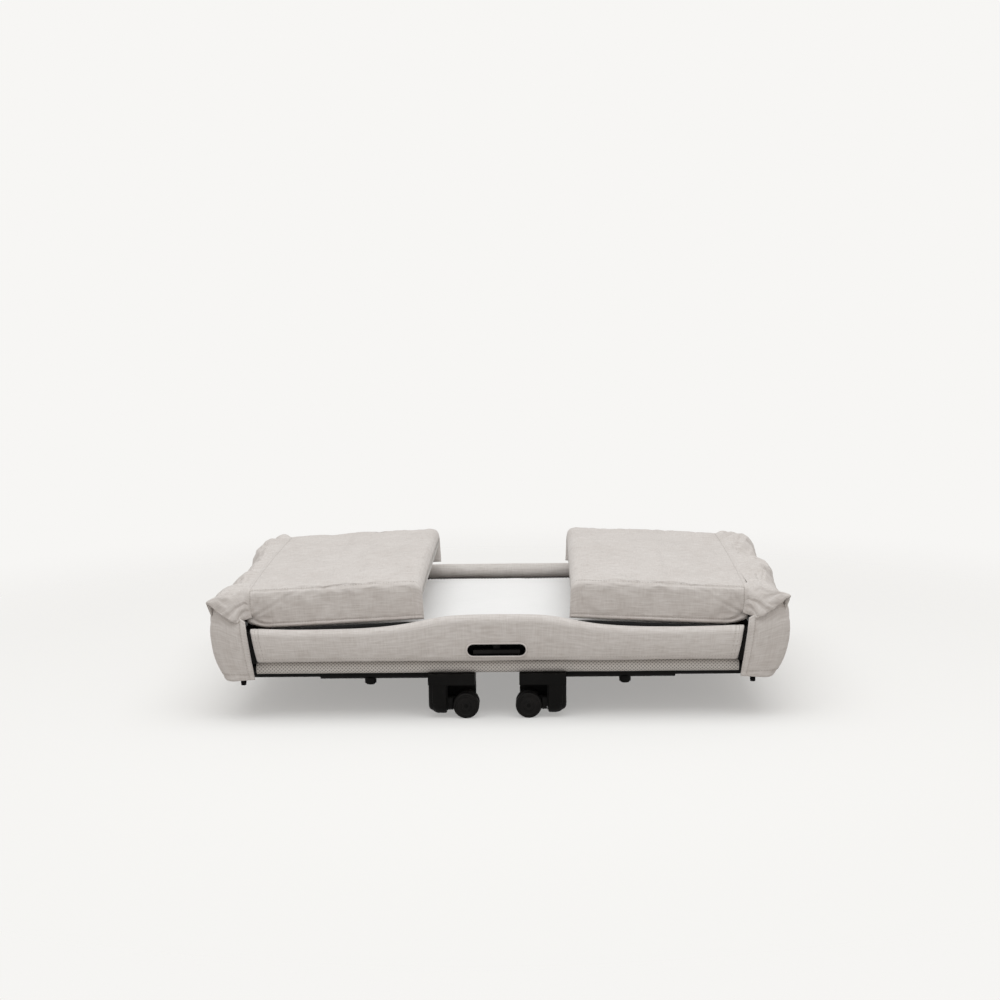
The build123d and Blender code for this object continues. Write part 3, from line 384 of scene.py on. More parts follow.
def knitted_mesh(name, thread, gap, open_net):
    # Warp-knitted polyester net with round holes in a diagonal lattice. Over a tube it looks
    # dotted, and on its own it lets the light through its holes.
    material = new_material(name)
    cloth = add_node(material, "ShaderNodeUVMap", uv_map="cloth").outputs[0]
    turned = add_node(
        material, "ShaderNodeMapping", {"Vector": cloth, "Rotation": (0, 0, radians(45))},
    )
    # Holes 4 mm apart, coarser than the real net so that they show
    left = add_node(
        material, "ShaderNodeTexWave",
        {"Vector": turned.outputs[0], "Scale": 0.314 / 0.004}, bands_direction="X",
    )
    right = add_node(
        material, "ShaderNodeTexWave",
        {"Vector": turned.outputs[0], "Scale": 0.314 / 0.004}, bands_direction="Y",
    )
    hole = add_node(
        material, "ShaderNodeMath",
        {0: left.outputs["Fac"], 1: right.outputs["Fac"]}, operation="MULTIPLY",
    )
    edge = add_node(
        material, "ShaderNodeMapRange",
        {"Value": hole.outputs[0], "From Min": 0.30, "From Max": 0.46},
    )
    colour = add_node(
        material, "ShaderNodeMix",
        {0: edge.outputs[0], 6: linear(thread), 7: linear(gap)}, data_type="RGBA",
    )
    relief = add_node(
        material, "ShaderNodeBump",
        {"Height": hole.outputs[0], "Strength": 0.5, "Distance": 0.0006}, invert=True,
    )
    inputs = {
        "Base Color": colour.outputs[2],
        "Roughness": 0.8,
        "IOR": 1.45,
        "Normal": relief.outputs[0],
    }
    if open_net:
        solid = add_node(
            material, "ShaderNodeMath", {0: 1.0, 1: edge.outputs[0]}, operation="SUBTRACT",
        )
        inputs["Alpha"] = solid.outputs[0]
    shader = add_node(material, "ShaderNodeBsdfPrincipled", inputs)
    add_node(material, "ShaderNodeOutputMaterial", {"Surface": shader.outputs[0]})
    return material


def moulded_plastic(name, face, rubbed, roughness, grain):
    # Injection-moulded plastic with a spark-eroded grain, rubbed a little paler in patches.
    material = new_material(name)
    place = add_node(material, "ShaderNodeTexCoord").outputs["Object"]
    sparks = add_node(
        material, "ShaderNodeTexNoise", {"Vector": place, "Scale": 1 / grain, "Detail": 2},
    )
    patches = add_node(
        material, "ShaderNodeTexNoise", {"Vector": place, "Scale": 1 / 0.035, "Detail": 3},
    )
    worn = add_node(
        material, "ShaderNodeMapRange",
        {"Value": patches.outputs[0], "From Min": 0.45, "From Max": 0.75, "To Max": 0.8},
    )
    colour = add_node(
        material, "ShaderNodeMix",
        {0: worn.outputs[0], 6: linear(face), 7: linear(rubbed)}, data_type="RGBA",
    )
    shine = add_node(
        material, "ShaderNodeMapRange",
        {"Value": patches.outputs[0], "To Min": roughness + 0.08, "To Max": roughness - 0.08},
    )
    relief = add_node(
        material, "ShaderNodeBump",
        {"Height": sparks.outputs[0], "Strength": 0.2, "Distance": 0.0003},
    )
    shader = add_node(
        material, "ShaderNodeBsdfPrincipled",
        {
            "Base Color": colour.outputs[2],
            "Roughness": shine.outputs[0],
            "IOR": 1.5,
            "Specular IOR Level": 0.1,
            "Normal": relief.outputs[0],
        },
    )
    add_node(material, "ShaderNodeOutputMaterial", {"Surface": shader.outputs[0]})
    return material


def zinc_plate(name):
    # Bright zinc on steel: a cloudy, slightly blue grey with an uneven shine.
    material = new_material(name)
    place = add_node(material, "ShaderNodeTexCoord").outputs["Object"]
    # Clouds of about 6 mm
    cloud = add_node(
        material, "ShaderNodeTexNoise", {"Vector": place, "Scale": 1 / 0.006, "Detail": 4},
    )
    colour = add_node(
        material, "ShaderNodeMix",
        {0: cloud.outputs[0], 6: linear("#9a9ea2"), 7: linear("#c6c9cc")}, data_type="RGBA",
    )
    shine = add_node(
        material, "ShaderNodeMapRange", {"Value": cloud.outputs[0], "To Min": 0.28, "To Max": 0.48},
    )
    shader = add_node(
        material, "ShaderNodeBsdfPrincipled",
        {"Base Color": colour.outputs[2], "Metallic": 1.0, "Roughness": shine.outputs[0]},
    )
    add_node(material, "ShaderNodeOutputMaterial", {"Surface": shader.outputs[0]})
    return material


def pressed_board(name):
    # Hardboard: pressed brown fibres about 6 mm long, smooth and dull.
    material = new_material(name)
    place = add_node(material, "ShaderNodeTexCoord").outputs["Object"]
    long = add_node(
        material, "ShaderNodeMapping",
        {"Vector": place, "Scale": (1 / 0.006, 1 / 0.0018, 1 / 0.0018)},
    )
    fibres = add_node(
        material, "ShaderNodeTexNoise", {"Vector": long.outputs[0], "Scale": 1, "Detail": 5},
    )
    colour = add_node(
        material, "ShaderNodeMix",
        {0: fibres.outputs[0], 6: linear("#5a4632"), 7: linear("#8a7156")}, data_type="RGBA",
    )
    relief = add_node(
        material, "ShaderNodeBump",
        {"Height": fibres.outputs[0], "Strength": 0.25, "Distance": 0.0004},
    )
    shader = add_node(
        material, "ShaderNodeBsdfPrincipled",
        {"Base Color": colour.outputs[2], "Roughness": 0.7, "IOR": 1.5, "Normal": relief.outputs[0]},
    )
    add_node(material, "ShaderNodeOutputMaterial", {"Surface": shader.outputs[0]})
    return material


grey_cover = heathered_polyester("heathered_polyester_grey", "#dfdad6", "#c0b8b2", 0.36)
lining_cover = heathered_polyester("heathered_polyester_lining", "#cbc8c4", "#aaa59f", 0.36)
white_cover = heathered_polyester("brushed_polyester_white", "#fdfcfb", "#f4f3f2", 0.4)
seam_thread = heathered_polyester("spun_polyester_thread", "#c4bfb8", "#aaa49d", 0.3)
# Painted shade: a black strip material that darkens the gap under the wings' hems, behind the rail
shade_strip = heathered_polyester("painted_shade_strip_black", "#121111", "#080808", 0.3)
dotted_mesh = knitted_mesh("knitted_mesh_over_tube", "#d6d1cc", "#96918c", False)
# The open net's charcoal is partly its own colour and partly painted shade: it is kept dark so that its
# folds behind the rail look shaded in the gap under the wings' hems.
open_mesh = knitted_mesh("knitted_mesh_open", "#45413f", "#2c2a28", True)
black_moulding = moulded_plastic("moulded_polypropylene_black", "#070605", "#0e0d0c", 0.5, 0.0006)
bar_grip = moulded_plastic("moulded_grip_black", "#171514", "#2c2a28", 0.5, 0.0012)
wheel_tread = moulded_plastic("moulded_polyurethane_grey", "#171615", "#242221", 0.5, 0.0008)
powder_coat = moulded_plastic("powder_coated_steel_black", "#070707", "#0e0e0e", 0.5, 0.0011)
foot_rubber = moulded_plastic("moulded_rubber_black", "#0c0b0b", "#161515", 0.8, 0.0009)
zinc = zinc_plate("zinc_plated_steel")
board = pressed_board("pressed_hardboard")


# Stitching


def sew(bm, place, start, end, pitch=4.2):
    """Adds a row of stitches on a surface, along a straight line of its own two places."""
    first = Vector(start)
    way = Vector(end) - first
    samples = 60
    points = [Vector(place(*(first + way * step / samples))) for step in range(samples + 1)]
    length = sum((b - a).length for a, b in zip(points, points[1:]))
    count = max(1, int(length / pitch))
    onward = way * 0.6 / max(length, 1.0)
    aside = Vector((-onward.y, onward.x))
    stitch = Matrix.Diagonal((0.4 * MM, 0.45 * MM, 1.4 * MM, 1.0))
    for index in range(count):
        at = first + way * (index + 0.5) / count
        there = Vector(place(*at))
        z = (Vector(place(*(at + onward))) - there).normalized()
        x = (Vector(place(*(at + aside))) - there).cross(z).normalized()
        turn = Matrix((x, z.cross(x), z)).transposed().to_4x4()
        bmesh.ops.create_uvsphere(
            bm, u_segments=6, v_segments=4, radius=1.0,
            matrix=Matrix.Translation(there * MM) @ turn @ stitch,
        )


def stitching(name, runs, body):
    """One piece of all the stitch rows on a body, each a surface with its start and end."""
    bm = bmesh.new()
    row_mesh = bpy.data.meshes.new(name + "_row")
    for place, start, end in runs:
        row = bmesh.new()
        sew(row, place, start, end)
        row.to_mesh(row_mesh)
        row.free()
        bm.from_mesh(row_mesh)
    bpy.data.meshes.remove(row_mesh)
    bm.loops.layers.uv.verify()
    piece = make_piece(name, bm, seam_thread)
    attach(piece, body)
    return piece


# End walls, which lie flat as two wings


def wall_point(side, u, y, v):
    """A point of an end wall, u inwards from its hinge and v up from its plane."""
    x = side * (HINGE_X - u * cos(WALL_TILT) + v * sin(WALL_TILT))
    return x, y, HINGE_Z + u * sin(WALL_TILT) + v * cos(WALL_TILT)


def hem_height(u):
    """Height of a wing's hem over the wall's plane; it lifts towards the gathered knot."""
    return HEM_V + 11.0 * max(0.0, 1 - u / 42) ** 1.8


def wing_point(side, u, d, lift):
    """A point of a wing, u from its hinge and d along its outside from the front hem."""
    reach = min(d, WING_GIRTH - d)
    low = hem_height(u)
    if reach < RETURN_RUN:
        y = -WALL_HALF - lift
        v = low + (WALL_RISE - EDGE_RADIUS - low) * reach / RETURN_RUN
    elif reach < RETURN_RUN + BEND_RUN:
        turn = (reach - RETURN_RUN) / EDGE_RADIUS
        y = -WALL_HALF + EDGE_RADIUS - (EDGE_RADIUS + lift) * cos(turn)
        v = WALL_RISE - EDGE_RADIUS + (EDGE_RADIUS + lift) * sin(turn)
    else:
        y = -WALL_HALF + EDGE_RADIUS + reach - RETURN_RUN - BEND_RUN
        v = WALL_RISE + lift
    v += WALL_CROWN * (1 - (y / WALL_HALF) ** 2) * ease(reach, RETURN_RUN, RETURN_RUN + 60)
    v -= 11.0 * (1 - rounding(WALL_LENGTH - u, 16)) * ease(reach, 0, RETURN_RUN)
    return wall_point(side, u, y if d < WING_GIRTH / 2 else -y, v)


# Seams of a wing: the hem's stitch line, and two across it as distances from the hinge
HEM_STITCH = 7.5
HINGE_SEAM = 11.0
END_SEAM = 262.0

# Places on the top where the board's ribs show through, as distances from the hinge
RIBS = (93.0, 122.0, 171.0, 221.0)

# Creases that run out from the gathered knot at an outer corner: heading and reach
KNOT_U = 5.0
KNOT_REACH = 13.0
CREASES = ((1.0, 15.0), (0.5, 30.0), (0.12, 24.0), (-0.25, 22.0))


def wing_relief(side, u, d):
    """How far the wing's outside stands out: seams, hems, gathers and uneven padding."""
    reach = min(d, WING_GIRTH - d)
    top = ease(reach, RETURN_RUN, RETURN_RUN + BEND_RUN)
    relief = 0.9 * ripple(u / 70, d / 90, side) + 0.35 * ripple(u / 22, d / 30, side + 3)
    relief -= 1.7 * hump(reach, WING_SEAM, 1.4) * (1 - 0.75 * ease(u, 70, 210))
    hem = 0.9 * hump(reach, 3.5, 3) - 1.5 * hump(reach, HEM_STITCH, 1.2)
    relief += hem * ease(u, 12, 26)
    relief -= 0.8 * hump(u, END_SEAM, 1.6) * (1 - top)
    for rib in RIBS:
        relief -= 0.9 * hump(u, rib + 3 * ripple(d / 120, rib, side), 4) * top
    knot = hypot(u - KNOT_U, reach - KNOT_REACH)
    angle = atan2(reach - KNOT_REACH, u - KNOT_U)
    for heading, length in CREASES:
        aside = knot * sin(angle - heading)
        ahead = ease(cos(angle - heading), 0, 0.4)
        valley = 4.6 * hump(aside, 0, 2.6) - 1.8 * hump(aside, 6, 3.5)
        relief -= valley * ahead * exp(-knot / length) * (1 - exp(-knot / 5))
    return relief


def wing_held(u, d):
    """The wing's cover is held along its seams and hems, and softly on the flat top."""
    reach = min(d, WING_GIRTH - d)
    edge = min(u - WALL_START, WALL_LENGTH - u, reach)
    long_seam = max(hump(reach, WING_SEAM, 3), hump(reach, HEM_STITCH, 3))
    cross_seam = max(hump(u, HINGE_SEAM, 2), hump(u, END_SEAM, 2) * 0.6)
    top = 0.12 * ease(reach, RETURN_RUN, RETURN_RUN + 60)
    return min(1.0, max(1 - ease(edge, 1, 6), long_seam, cross_seam, top))


def wing_outside(side):
    def place(u, d):
        edge = min(u - WALL_START, WALL_LENGTH - u, d, WING_GIRTH - d)
        half = WALL_PADDING / 2
        lift = (rounding(edge, half) - 1) * half + wing_relief(side, u, d) * ease(edge, 0, 3)
        return wing_point(side, u, d, lift)
    return place


def wing_inside(side):
    def place(u, d):
        edge = min(u - WALL_START, WALL_LENGTH - u, d, WING_GIRTH - d)
        half = WALL_PADDING / 2
        return wing_point(side, u, d, -half - rounding(edge, half) * half)
    return place


def make_wing(name, side):
    """The padded cover of an end wall, with its seams."""
    across = divide(
        WALL_START, (WALL_START + 2, 0.5), (14, 1.6), (64, 2.4), (256, 5.5), (268, 1.6),
        (WALL_LENGTH - 3, 2.5), (WALL_LENGTH, 0.6),
    )
    top_start = RETURN_RUN + BEND_RUN
    half = [(2, 0.5), (12, 1.4), (RETURN_RUN, 2.6), (top_start, 1.3)]
    rest = [(WING_GIRTH - top_start, 6.5), (WING_GIRTH - RETURN_RUN, 1.3), (WING_GIRTH - 12, 2.6)]
    along = divide(0.0, *half, *rest, (WING_GIRTH - 2, 1.4), (WING_GIRTH, 0.5))
    bm = padded_shell(across, along, wing_outside(side), wing_inside(side), wing_held)
    settle(bm, 0.012, 1.2, 3.0)
    wing = make_piece(f"wing_cover_{name}", bm, grey_cover, [f"wall_pad_{name}"])
    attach(wing, f"wall_{name}")
    outside = wing_outside(side)
    runs = []
    for d in (HEM_STITCH, WING_GIRTH - HEM_STITCH):
        runs.append((outside, (24, d), (WALL_LENGTH - 4, d)))
    for d in (WING_SEAM + 3, WING_GIRTH - WING_SEAM - 3):
        runs.append((outside, (12, d), (WALL_LENGTH - 6, d)))
    runs.append((outside, (HINGE_SEAM, 20), (HINGE_SEAM, WING_GIRTH - 20)))
    stitching(f"wing_stitches_{name}", runs, f"wall_{name}")


def make_lining(name, side):
    """Cloth laced under the wall's board and frame, the crib's inside when the wall stands."""
    # It turns up round the frame's end tube to meet the padded cover
    turn_u = 266.0
    turn_v = 28.6
    turn_radius = 9.4

    def place(run, y):
        edge = min(run - 17, y + 246, 246 - y)
        sag = 1.2 * ripple(run / 60, y / 70, side + 9) - 1.5 * ease(edge, 0, 60)
        if run < turn_u:
            flat = 1 - ease(run, turn_u - 40, turn_u)
            return wall_point(side, run, y, turn_v - turn_radius + sag * flat)
        angle = (run - turn_u) / turn_radius
        u = turn_u + turn_radius * sin(angle)
        return wall_point(side, u, y, turn_v - turn_radius * cos(angle))

    bm = bmesh.new()
    across = divide(17, (turn_u, 7.5), (turn_u + 2.6 * turn_radius, 2))
    lay_cloth(bm, across, divide(-246, (246, 7.5)), place)
    face_away(bm, wall_point(side, 140, 0, 60))
    lining = make_piece(f"wall_lining_{name}", bm, lining_cover)
    thicken(lining, 1.0)
    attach(lining, f"wall_{name}")


# Hinge covers, draped from the walls over the end caps with pointed ears


# Rows from the wall's edge to the cover's hem, as distance out, Y and height. The stations
# close the front, from the gathered knot to the tip of the ear and round the corner.
EAR = {
    "left": (
        (0, (
            (377, -260.6, 156), (380.5, -265, 155.5), (384.5, -269.5, 155),
            (388.5, -273.5, 154.5), (391.5, -275.5, 153.5), (391.5, -273.5, 152.5),
        )),
        (14, (
            (380, -260.4, 171), (386, -272, 172), (391.5, -282, 168),
            (396, -289.5, 160.5), (398, -291.5, 156.5), (398, -289.5, 154.5),
        )),
        (30, (
            (380, -260.2, 183), (389, -271, 186), (400, -282, 183),
            (411, -290, 175), (417, -292, 168.5), (417, -290, 166.5),
        )),
        (50, (
            (380, -257.4, 193), (395, -268, 197.5), (411, -278, 195.5),
            (427, -287, 190.5), (440, -291.5, 186), (440, -289.5, 184),
        )),
        (72, (
            (379.5, -249.4, 196.8), (398, -257, 202), (415, -265, 198.5),
            (429, -272, 191.5), (436, -277, 181), (434.5, -272, 152),
        )),
        (84, (
            (379, -238, 196.9), (400, -242, 201), (416, -246, 196.5),
            (430, -250, 189), (439, -253, 175), (441.6, -255, 145),
        )),
    ),
    "right": (
        (0, (
            (377, -260.6, 157), (380.5, -265, 156.5), (384.5, -269.5, 156),
            (388.5, -273.5, 155.5), (391.5, -275.5, 154.5), (391.5, -273.5, 153.5),
        )),
        (14, (
            (380, -260.4, 172), (386, -272, 173), (391.5, -282, 169),
            (395.5, -289.5, 161.5), (397, -291.5, 157.5), (397, -289.5, 155.5),
        )),
        (30, (
            (380, -260.2, 183), (389, -271, 186), (402, -282, 184),
            (413, -290, 177), (420, -292, 171), (420, -290, 169),
        )),
        (50, (
            (380, -257.4, 193), (396, -268, 197.5), (413, -278, 196.5),
            (430, -287, 193), (444, -291.5, 189.5), (444, -289.5, 187.5),
        )),
        (72, (
            (379.5, -249.4, 196.8), (398, -257, 200.5), (414, -265, 197),
            (428, -272, 192), (439, -277, 183), (438, -272, 152),
        )),
        (84, (
            (379, -238, 196.9), (400, -242, 200), (415, -246, 197),
            (429, -250, 192), (441.5, -253, 181), (448.8, -255, 146),
        )),
    ),
}

# Stations between the ears: Y, then distance out and height of the rows after the first
ROOF = {
    "left": (
        (-225, ((402, 199), (418, 194), (433, 186.5), (443, 174), (441.8, 145))),
        (-188, ((401, 198), (416, 191), (431, 184), (442.5, 172), (441.5, 145))),
        (-150, ((401, 196), (414, 188.5), (428, 181), (441, 170), (441.2, 144))),
        (-110, ((401, 200), (414, 191), (425, 180), (438, 168), (440.8, 144))),
        (-75, ((401, 199), (413, 188), (421, 176), (434, 166), (440.6, 143))),
        (-30, ((401, 201), (412, 191), (421, 180), (431, 164), (440.4, 143))),
        (0, ((400, 199), (410, 189.5), (420, 180), (430, 163), (440.4, 142))),
        (40, ((401, 202), (412, 194), (421, 181), (431, 164), (440.5, 142))),
        (75, ((400, 200), (411, 191), (420, 178), (432, 163), (440.6, 142))),
        (115, ((401, 202), (414, 196), (425, 182), (434, 164), (440.8, 142))),
        (150, ((402, 202), (416, 195), (427, 184), (436, 165), (441.2, 143))),
        (190, ((403, 203), (419, 197), (433, 184), (440, 169), (441.5, 143))),
        (225, ((403, 200), (420, 194), (436, 181), (442.5, 171), (441.8, 144))),
    ),
    "right": (
        (-225, ((402, 199), (416, 196.5), (428, 191.5), (440, 182), (449, 147))),
        (-190, ((402, 198), (415, 194), (427, 188), (438, 178), (448.6, 146))),
        (-150, ((402, 201), (417, 199), (431, 193), (438.5, 178), (448.2, 145))),
        (-110, ((403, 204), (419, 202), (434, 195), (442, 177), (448, 145))),
        (-75, ((403, 203), (420, 202.5), (436, 195), (443.5, 176), (447.8, 145))),
        (-35, ((403, 203), (419, 201), (435, 195), (446, 177), (447.8, 145))),
        (0, ((402, 201), (417, 198), (432, 192), (446.5, 177), (447.8, 145))),
        (50, ((401, 200), (415, 195), (429, 187), (443, 175), (447.8, 144))),
        (90, ((400, 197), (412, 191), (424, 184.5), (437, 175), (448, 144))),
        (130, ((402, 203), (416, 201), (430, 194), (439, 181), (448.2, 144))),
        (180, ((404, 206), (421, 203), (435, 193), (444, 177), (448.6, 145))),
        (225, ((403, 203), (419, 199), (434, 190), (446.5, 176), (449, 146))),
    ),
}

# The rear ears hang lower than the front ones
REAR_EAR_DROP = {"left": 15.0, "right": 13.0}

# Length of the edge sewn to the wall, and what tells the two covers' uneven edges apart
BAND = 644.0
EDGE_SEED = {"left": 4, "right": 5}


def cover_stations(name):
    """Stations round the cover from the front knot to the rear knot, as rows of points."""
    stations = [(at, [Vector(point) for point in rows]) for at, rows in EAR[name]]
    for y, rows in ROOF[name]:
        sewn = 9 + 7 * ripple(y / 70, 2.5, EDGE_SEED[name])
        crown = WALL_CROWN * (1 - (y / WALL_HALF) ** 2)
        edge = Vector(wall_point(1, sewn, y, WALL_RISE + crown))
        points = [Vector((edge.x, y, edge.z - 1.8))]
        points += [Vector((out, y, z)) for out, z in rows]
        stations.append((y + 322, points))
    for at, rows in reversed(EAR[name]):
        points = []
        for out, y, z in rows:
            sink = REAR_EAR_DROP[name] * ease(out, 395, 440)
            points.append(Vector((out + 3 * ease(out, 420, 440), -y, z - sink)))
        stations.append((BAND - at, points))
    return stations


def cover_surface(name, side):
    """The drape of a hinge cover: a runs from the wall to the hem, b from knot to knot."""
    stations = cover_stations(name)
    rows = range(len(stations[0][1]))
    lines = [[(at, points[row]) for at, points in stations] for row in rows]

    def place(a, b):
        section = [(row * 20.0, follow(line, b)) for row, line in zip(rows, lines)]
        point = follow(section, a)
        middle = ease(a, 0, 18) * (1 - ease(a, 88, 100))
        inner = ease(b, 30, 90) * (1 - ease(b, BAND - 90, BAND - 30))
        swell = 1.7 * ripple(b / 26, a / 70, side + 5) + 1.0 * ripple(b / 60, a / 9, side)
        point.z += swell * middle * inner
        point.x += 1.3 * ripple(b / 20, a / 45, side + 11) * middle
        point.y += 0.8 * ripple(b / 14, a / 30, side + 17) * middle * (1 - inner)
        knot = min(b, BAND - b)
        inward = 1 if b < BAND / 2 else -1
        for start in (9, 20):
            point.y += inward * 3.2 * hump(knot, start + 0.06 * a, 2.8) * middle
        return side * point.x, point.y, point.z
    return place


def cover_held(a, b):
    """The hinge cover is sewn along the wall, gathered at its knots and weighted by its hem."""
    knot = 1 - ease(min(b, BAND - b), 2, 12)
    return min(1.0, max(1 - ease(a, 3, 10), ease(a, 92, 98), knot, 0.02))


def make_cover(name, side):
    """The cloth over a wall's hinge, which turns with the wall and hangs over the end cap."""
    place = cover_surface(name, side)
    bm = bmesh.new()
    across = divide(0, (6, 1.5), (94, 3), (100, 1.5))
    along = divide(0, (48, 2), (80, 3), (BAND - 80, 4.5), (BAND - 48, 3), (BAND, 2))
    lay_cloth(bm, across, along, place, cover_held)
    settle(bm, 0.05, 0.0, 5.0)
    face_away(bm, (side * 405, 0, 150))
    cover = make_piece(
        f"hinge_cover_cloth_{name}", bm, grey_cover, [f"hinge_cover_{name}"],
    )
    thicken(cover, 1.6, 0.0)
    subdivide(cover)
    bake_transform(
        cover, "base", f"wall_{name}",
        start=(side * 446 * MM, 0, 166 * MM), end=(side * 390 * MM, 0, 196 * MM),
    )


# End caps


# Length of cloth up to the end of each part of a cap: front, corner, side, corner and rear
CAP_RUNS = (0.0, 48.0, 72.0, 622.0, 646.0, 694.0)
CAP_FRONT_RUN = CAP_RUNS[1]
CAP_RISE = 88.0


def cap_inner_x(z):
    """Distance of a cap's inner edge from the middle; it leans outwards."""
    return 370.5 + 12.0 * (z - CAP_BOTTOM) / 82.0


# Half width of each cap over its height
CAP_SIDE = {
    "left": (
        (62, 417.5), (84, 429), (104, 436), (125, 439.5), (145, 440), (165, 437), (185, 434),
    ),
    "right": (
        (62, 421), (82, 434.5), (104, 443), (125, 447), (145, 447.5), (158, 445), (170, 441),
        (187, 436),
    ),
}


def cap_point(name, side, s, share, lift):
    """A point of a cap; s runs over its front, corner, side, corner and rear, one unit each."""
    turned = 5 - s if s > 2.5 else s
    end = 1 if s > 2.5 else -1
    front = 1 - ease(turned, 1.9, 2.03)
    top = 146.5 + front * (8.0 + 30.0 * min(turned, 1.0))
    bottom = 64.5 - 2.5 * min(turned, 1.0)
    z = bottom + (top - bottom) * share
    outer = follow(CAP_SIDE[name], z)
    depth = 289.5 - 3.5 * ease(z, 140, 156)
    if turned <= 1:
        run = outer - CAP_CORNER - cap_inner_x(z)
        x = cap_inner_x(z) + run * turned
        bulge = 1.2 * sin(pi * min(1.0, turned)) * sin(pi * share)
        y = depth + lift + bulge
    elif turned <= 2:
        angle = (turned - 1) * pi / 2
        x = outer - CAP_CORNER + (CAP_CORNER + lift) * sin(angle)
        y = depth - CAP_CORNER + (CAP_CORNER + lift) * cos(angle)
    else:
        y = (depth - CAP_CORNER) * (1 - (turned - 2) * 2)
        x = outer + lift - 2.0 * (1 - (y / 275) ** 2) * ease(z, 80, 150)
    return side * x, end * y, z


def cap_relief(side, s, share):
    """Hem strip down the inner edge, the bottom hem and uneven padding."""
    turned = 5 - s if s > 2.5 else s
    height = share * CAP_RISE
    relief = 0.8 * ripple(s * 1.3, share * 1.6, side + 21)
    relief += 0.4 * ripple(s * 5, share * 5, side + 23)
    if turned < 1:
        run = turned * CAP_FRONT_RUN
        relief += 0.9 * (1 - ease(run, 9.5, 11.5))
        relief -= 0.8 * hump(run, 11.2, 1.1)
        relief -= 0.5 * hump(run, 3, 0.9)
    relief -= 0.8 * hump(height, 7, 1.3)
    if 0.2 < turned < 1.1:
        relief -= 0.9 * hump(height, 62 + 5 * turned, 1.8) * hump(turned, 0.75, 0.3)
    return relief


def cap_face(name, side, outside):
    def place(s, share):
        turned = min(s, 5 - s)
        edge = min(turned * CAP_FRONT_RUN, share * CAP_RISE, (1 - share) * CAP_RISE)
        half = CAP_PADDING / 2
        if outside:
            lift = (rounding(edge, half) - 1) * half
            lift += cap_relief(side, s, share) * ease(edge, 0, 2)
        else:
            lift = -half - rounding(edge, half) * half
        return cap_point(name, side, s, share, lift)
    return place


def make_cap(name, side):
    """The padded cap round an end of the base, with its hems."""
    front = divide(0.0, (0.05, 0.0125), (0.28, 0.024), (1, 0.06))
    corner_on = divide(1.0, (2, 0.125), (2.12, 0.0075), (2.88, 0.0125), (3, 0.0075), (4, 0.125))
    rear = [5 - s for s in reversed(front)]
    across = front + corner_on[1:] + rear[1:]
    along = divide(0.0, (0.03, 0.0075), (0.12, 0.013), (0.97, 0.045), (1, 0.0075))
    bm = padded_shell(across, along, cap_face(name, side, True), cap_face(name, side, False))
    layer = bm.loops.layers.uv.verify()
    for face in bm.faces:
        for loop in face.loops:
            s, share = (value / MM for value in loop[layer].uv)
            part = min(int(s), 4)
            run = CAP_RUNS[part] + (CAP_RUNS[part + 1] - CAP_RUNS[part]) * (s - part)
            loop[layer].uv = (run * MM, share * CAP_RISE * MM)
    cap = make_piece(f"cap_cover_{name}", bm, grey_cover, [f"end_cap_{name}"])
    subdivide(cap)
    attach(cap, "base")
    face = cap_face(name, side, True)
    runs = []
    for s in (0.06, 0.2, 4.8, 4.94):
        runs.append((face, (s, 0.05), (s, 0.97)))
    hem = 0.095
    for start, end in ((0.26, 1), (1, 2), (2, 3), (3, 4), (4, 4.74)):
        runs.append((face, (start, hem), (end, hem)))
    stitching(f"cap_stitches_{name}", runs, "base")


# Front rail


RAIL_END = 378.0

# Height of the rail's top at distances from its middle
RAIL_TOP = (
    (0, 161.5), (60, 160), (92, 156.5), (125, 150), (160, 144.5), (200, 141.2), (250, 139.8),
    (310, 139.6), (RAIL_END, 141.5),
)

# Length of cloth up to the end of each of the ten parts round the rail
RAIL_GIRTH = (
    (0, 0), (1, 7), (2, 18), (3, 50), (4, 68), (5, 70.5), (6, 73), (7, 91), (8, 123), (9, 134),
    (10, 141),
)


def rail_half_length(z):
    """Half the rail's length at a height; its ends lean outwards."""
    return 368.0 + 10.0 * (z - RAIL_BOTTOM) / 50.0


def rail_point(x, g):
    """A point of the rail's cover; g runs round it, one unit each for its ten parts."""
    back = g > 5
    way = 10 - g if back else g
    top = follow(RAIL_TOP, abs(x))
    edge = RAIL_END - abs(x)
    slim = 0.45 + 0.55 * rounding(edge, 9)
    half = RAIL_HALF_THICKNESS * slim
    low = min(7.0, half * 0.7)
    high = min(11.5, half * 0.9)
    if way <= 1:
        y = (half - low) * way
        z = RAIL_BOTTOM
    elif way <= 2:
        angle = (way - 1) * pi / 2
        y = half - low + low * sin(angle)
        z = RAIL_BOTTOM + low * (1 - cos(angle))
    elif way <= 3:
        bulge = 0.0 if back else 1.6
        y = half + bulge * sin(pi * (way - 2))
        z = RAIL_BOTTOM + low + (top - high - RAIL_BOTTOM - low) * (way - 2)
    elif way <= 4:
        angle = (way - 3) * pi / 2
        y = half - high + high * cos(angle)
        z = top - high + high * sin(angle)
    else:
        y = (half - high) * (5 - way)
        z = top
    relief = 0.7 * ripple(x / 60, g * 0.9, 31) + 0.35 * ripple(x / 22, g * 2, 33)
    relief -= 0.9 * hump(edge, 11, 1.3)
    if not back:
        relief -= 0.7 * hump(z, RAIL_BOTTOM + 5.5, 1.3)
    near_slot = max(abs(x) - SLOT_HALF, 0) / 26 + abs(z - SLOT_Z) / 26
    y += relief * min(1.0, near_slot) * ease(y, 2, half)
    z += 0.5 * relief * ease(z, top - 12, top)
    z += 1.2 * (1 + ripple(x / 130, 0.5, 35)) * (1 - ease(z, RAIL_BOTTOM, RAIL_BOTTOM + 14))
    across = x * rail_half_length(z) / RAIL_END
    return across, RAIL_Y + (y if back else -y), z


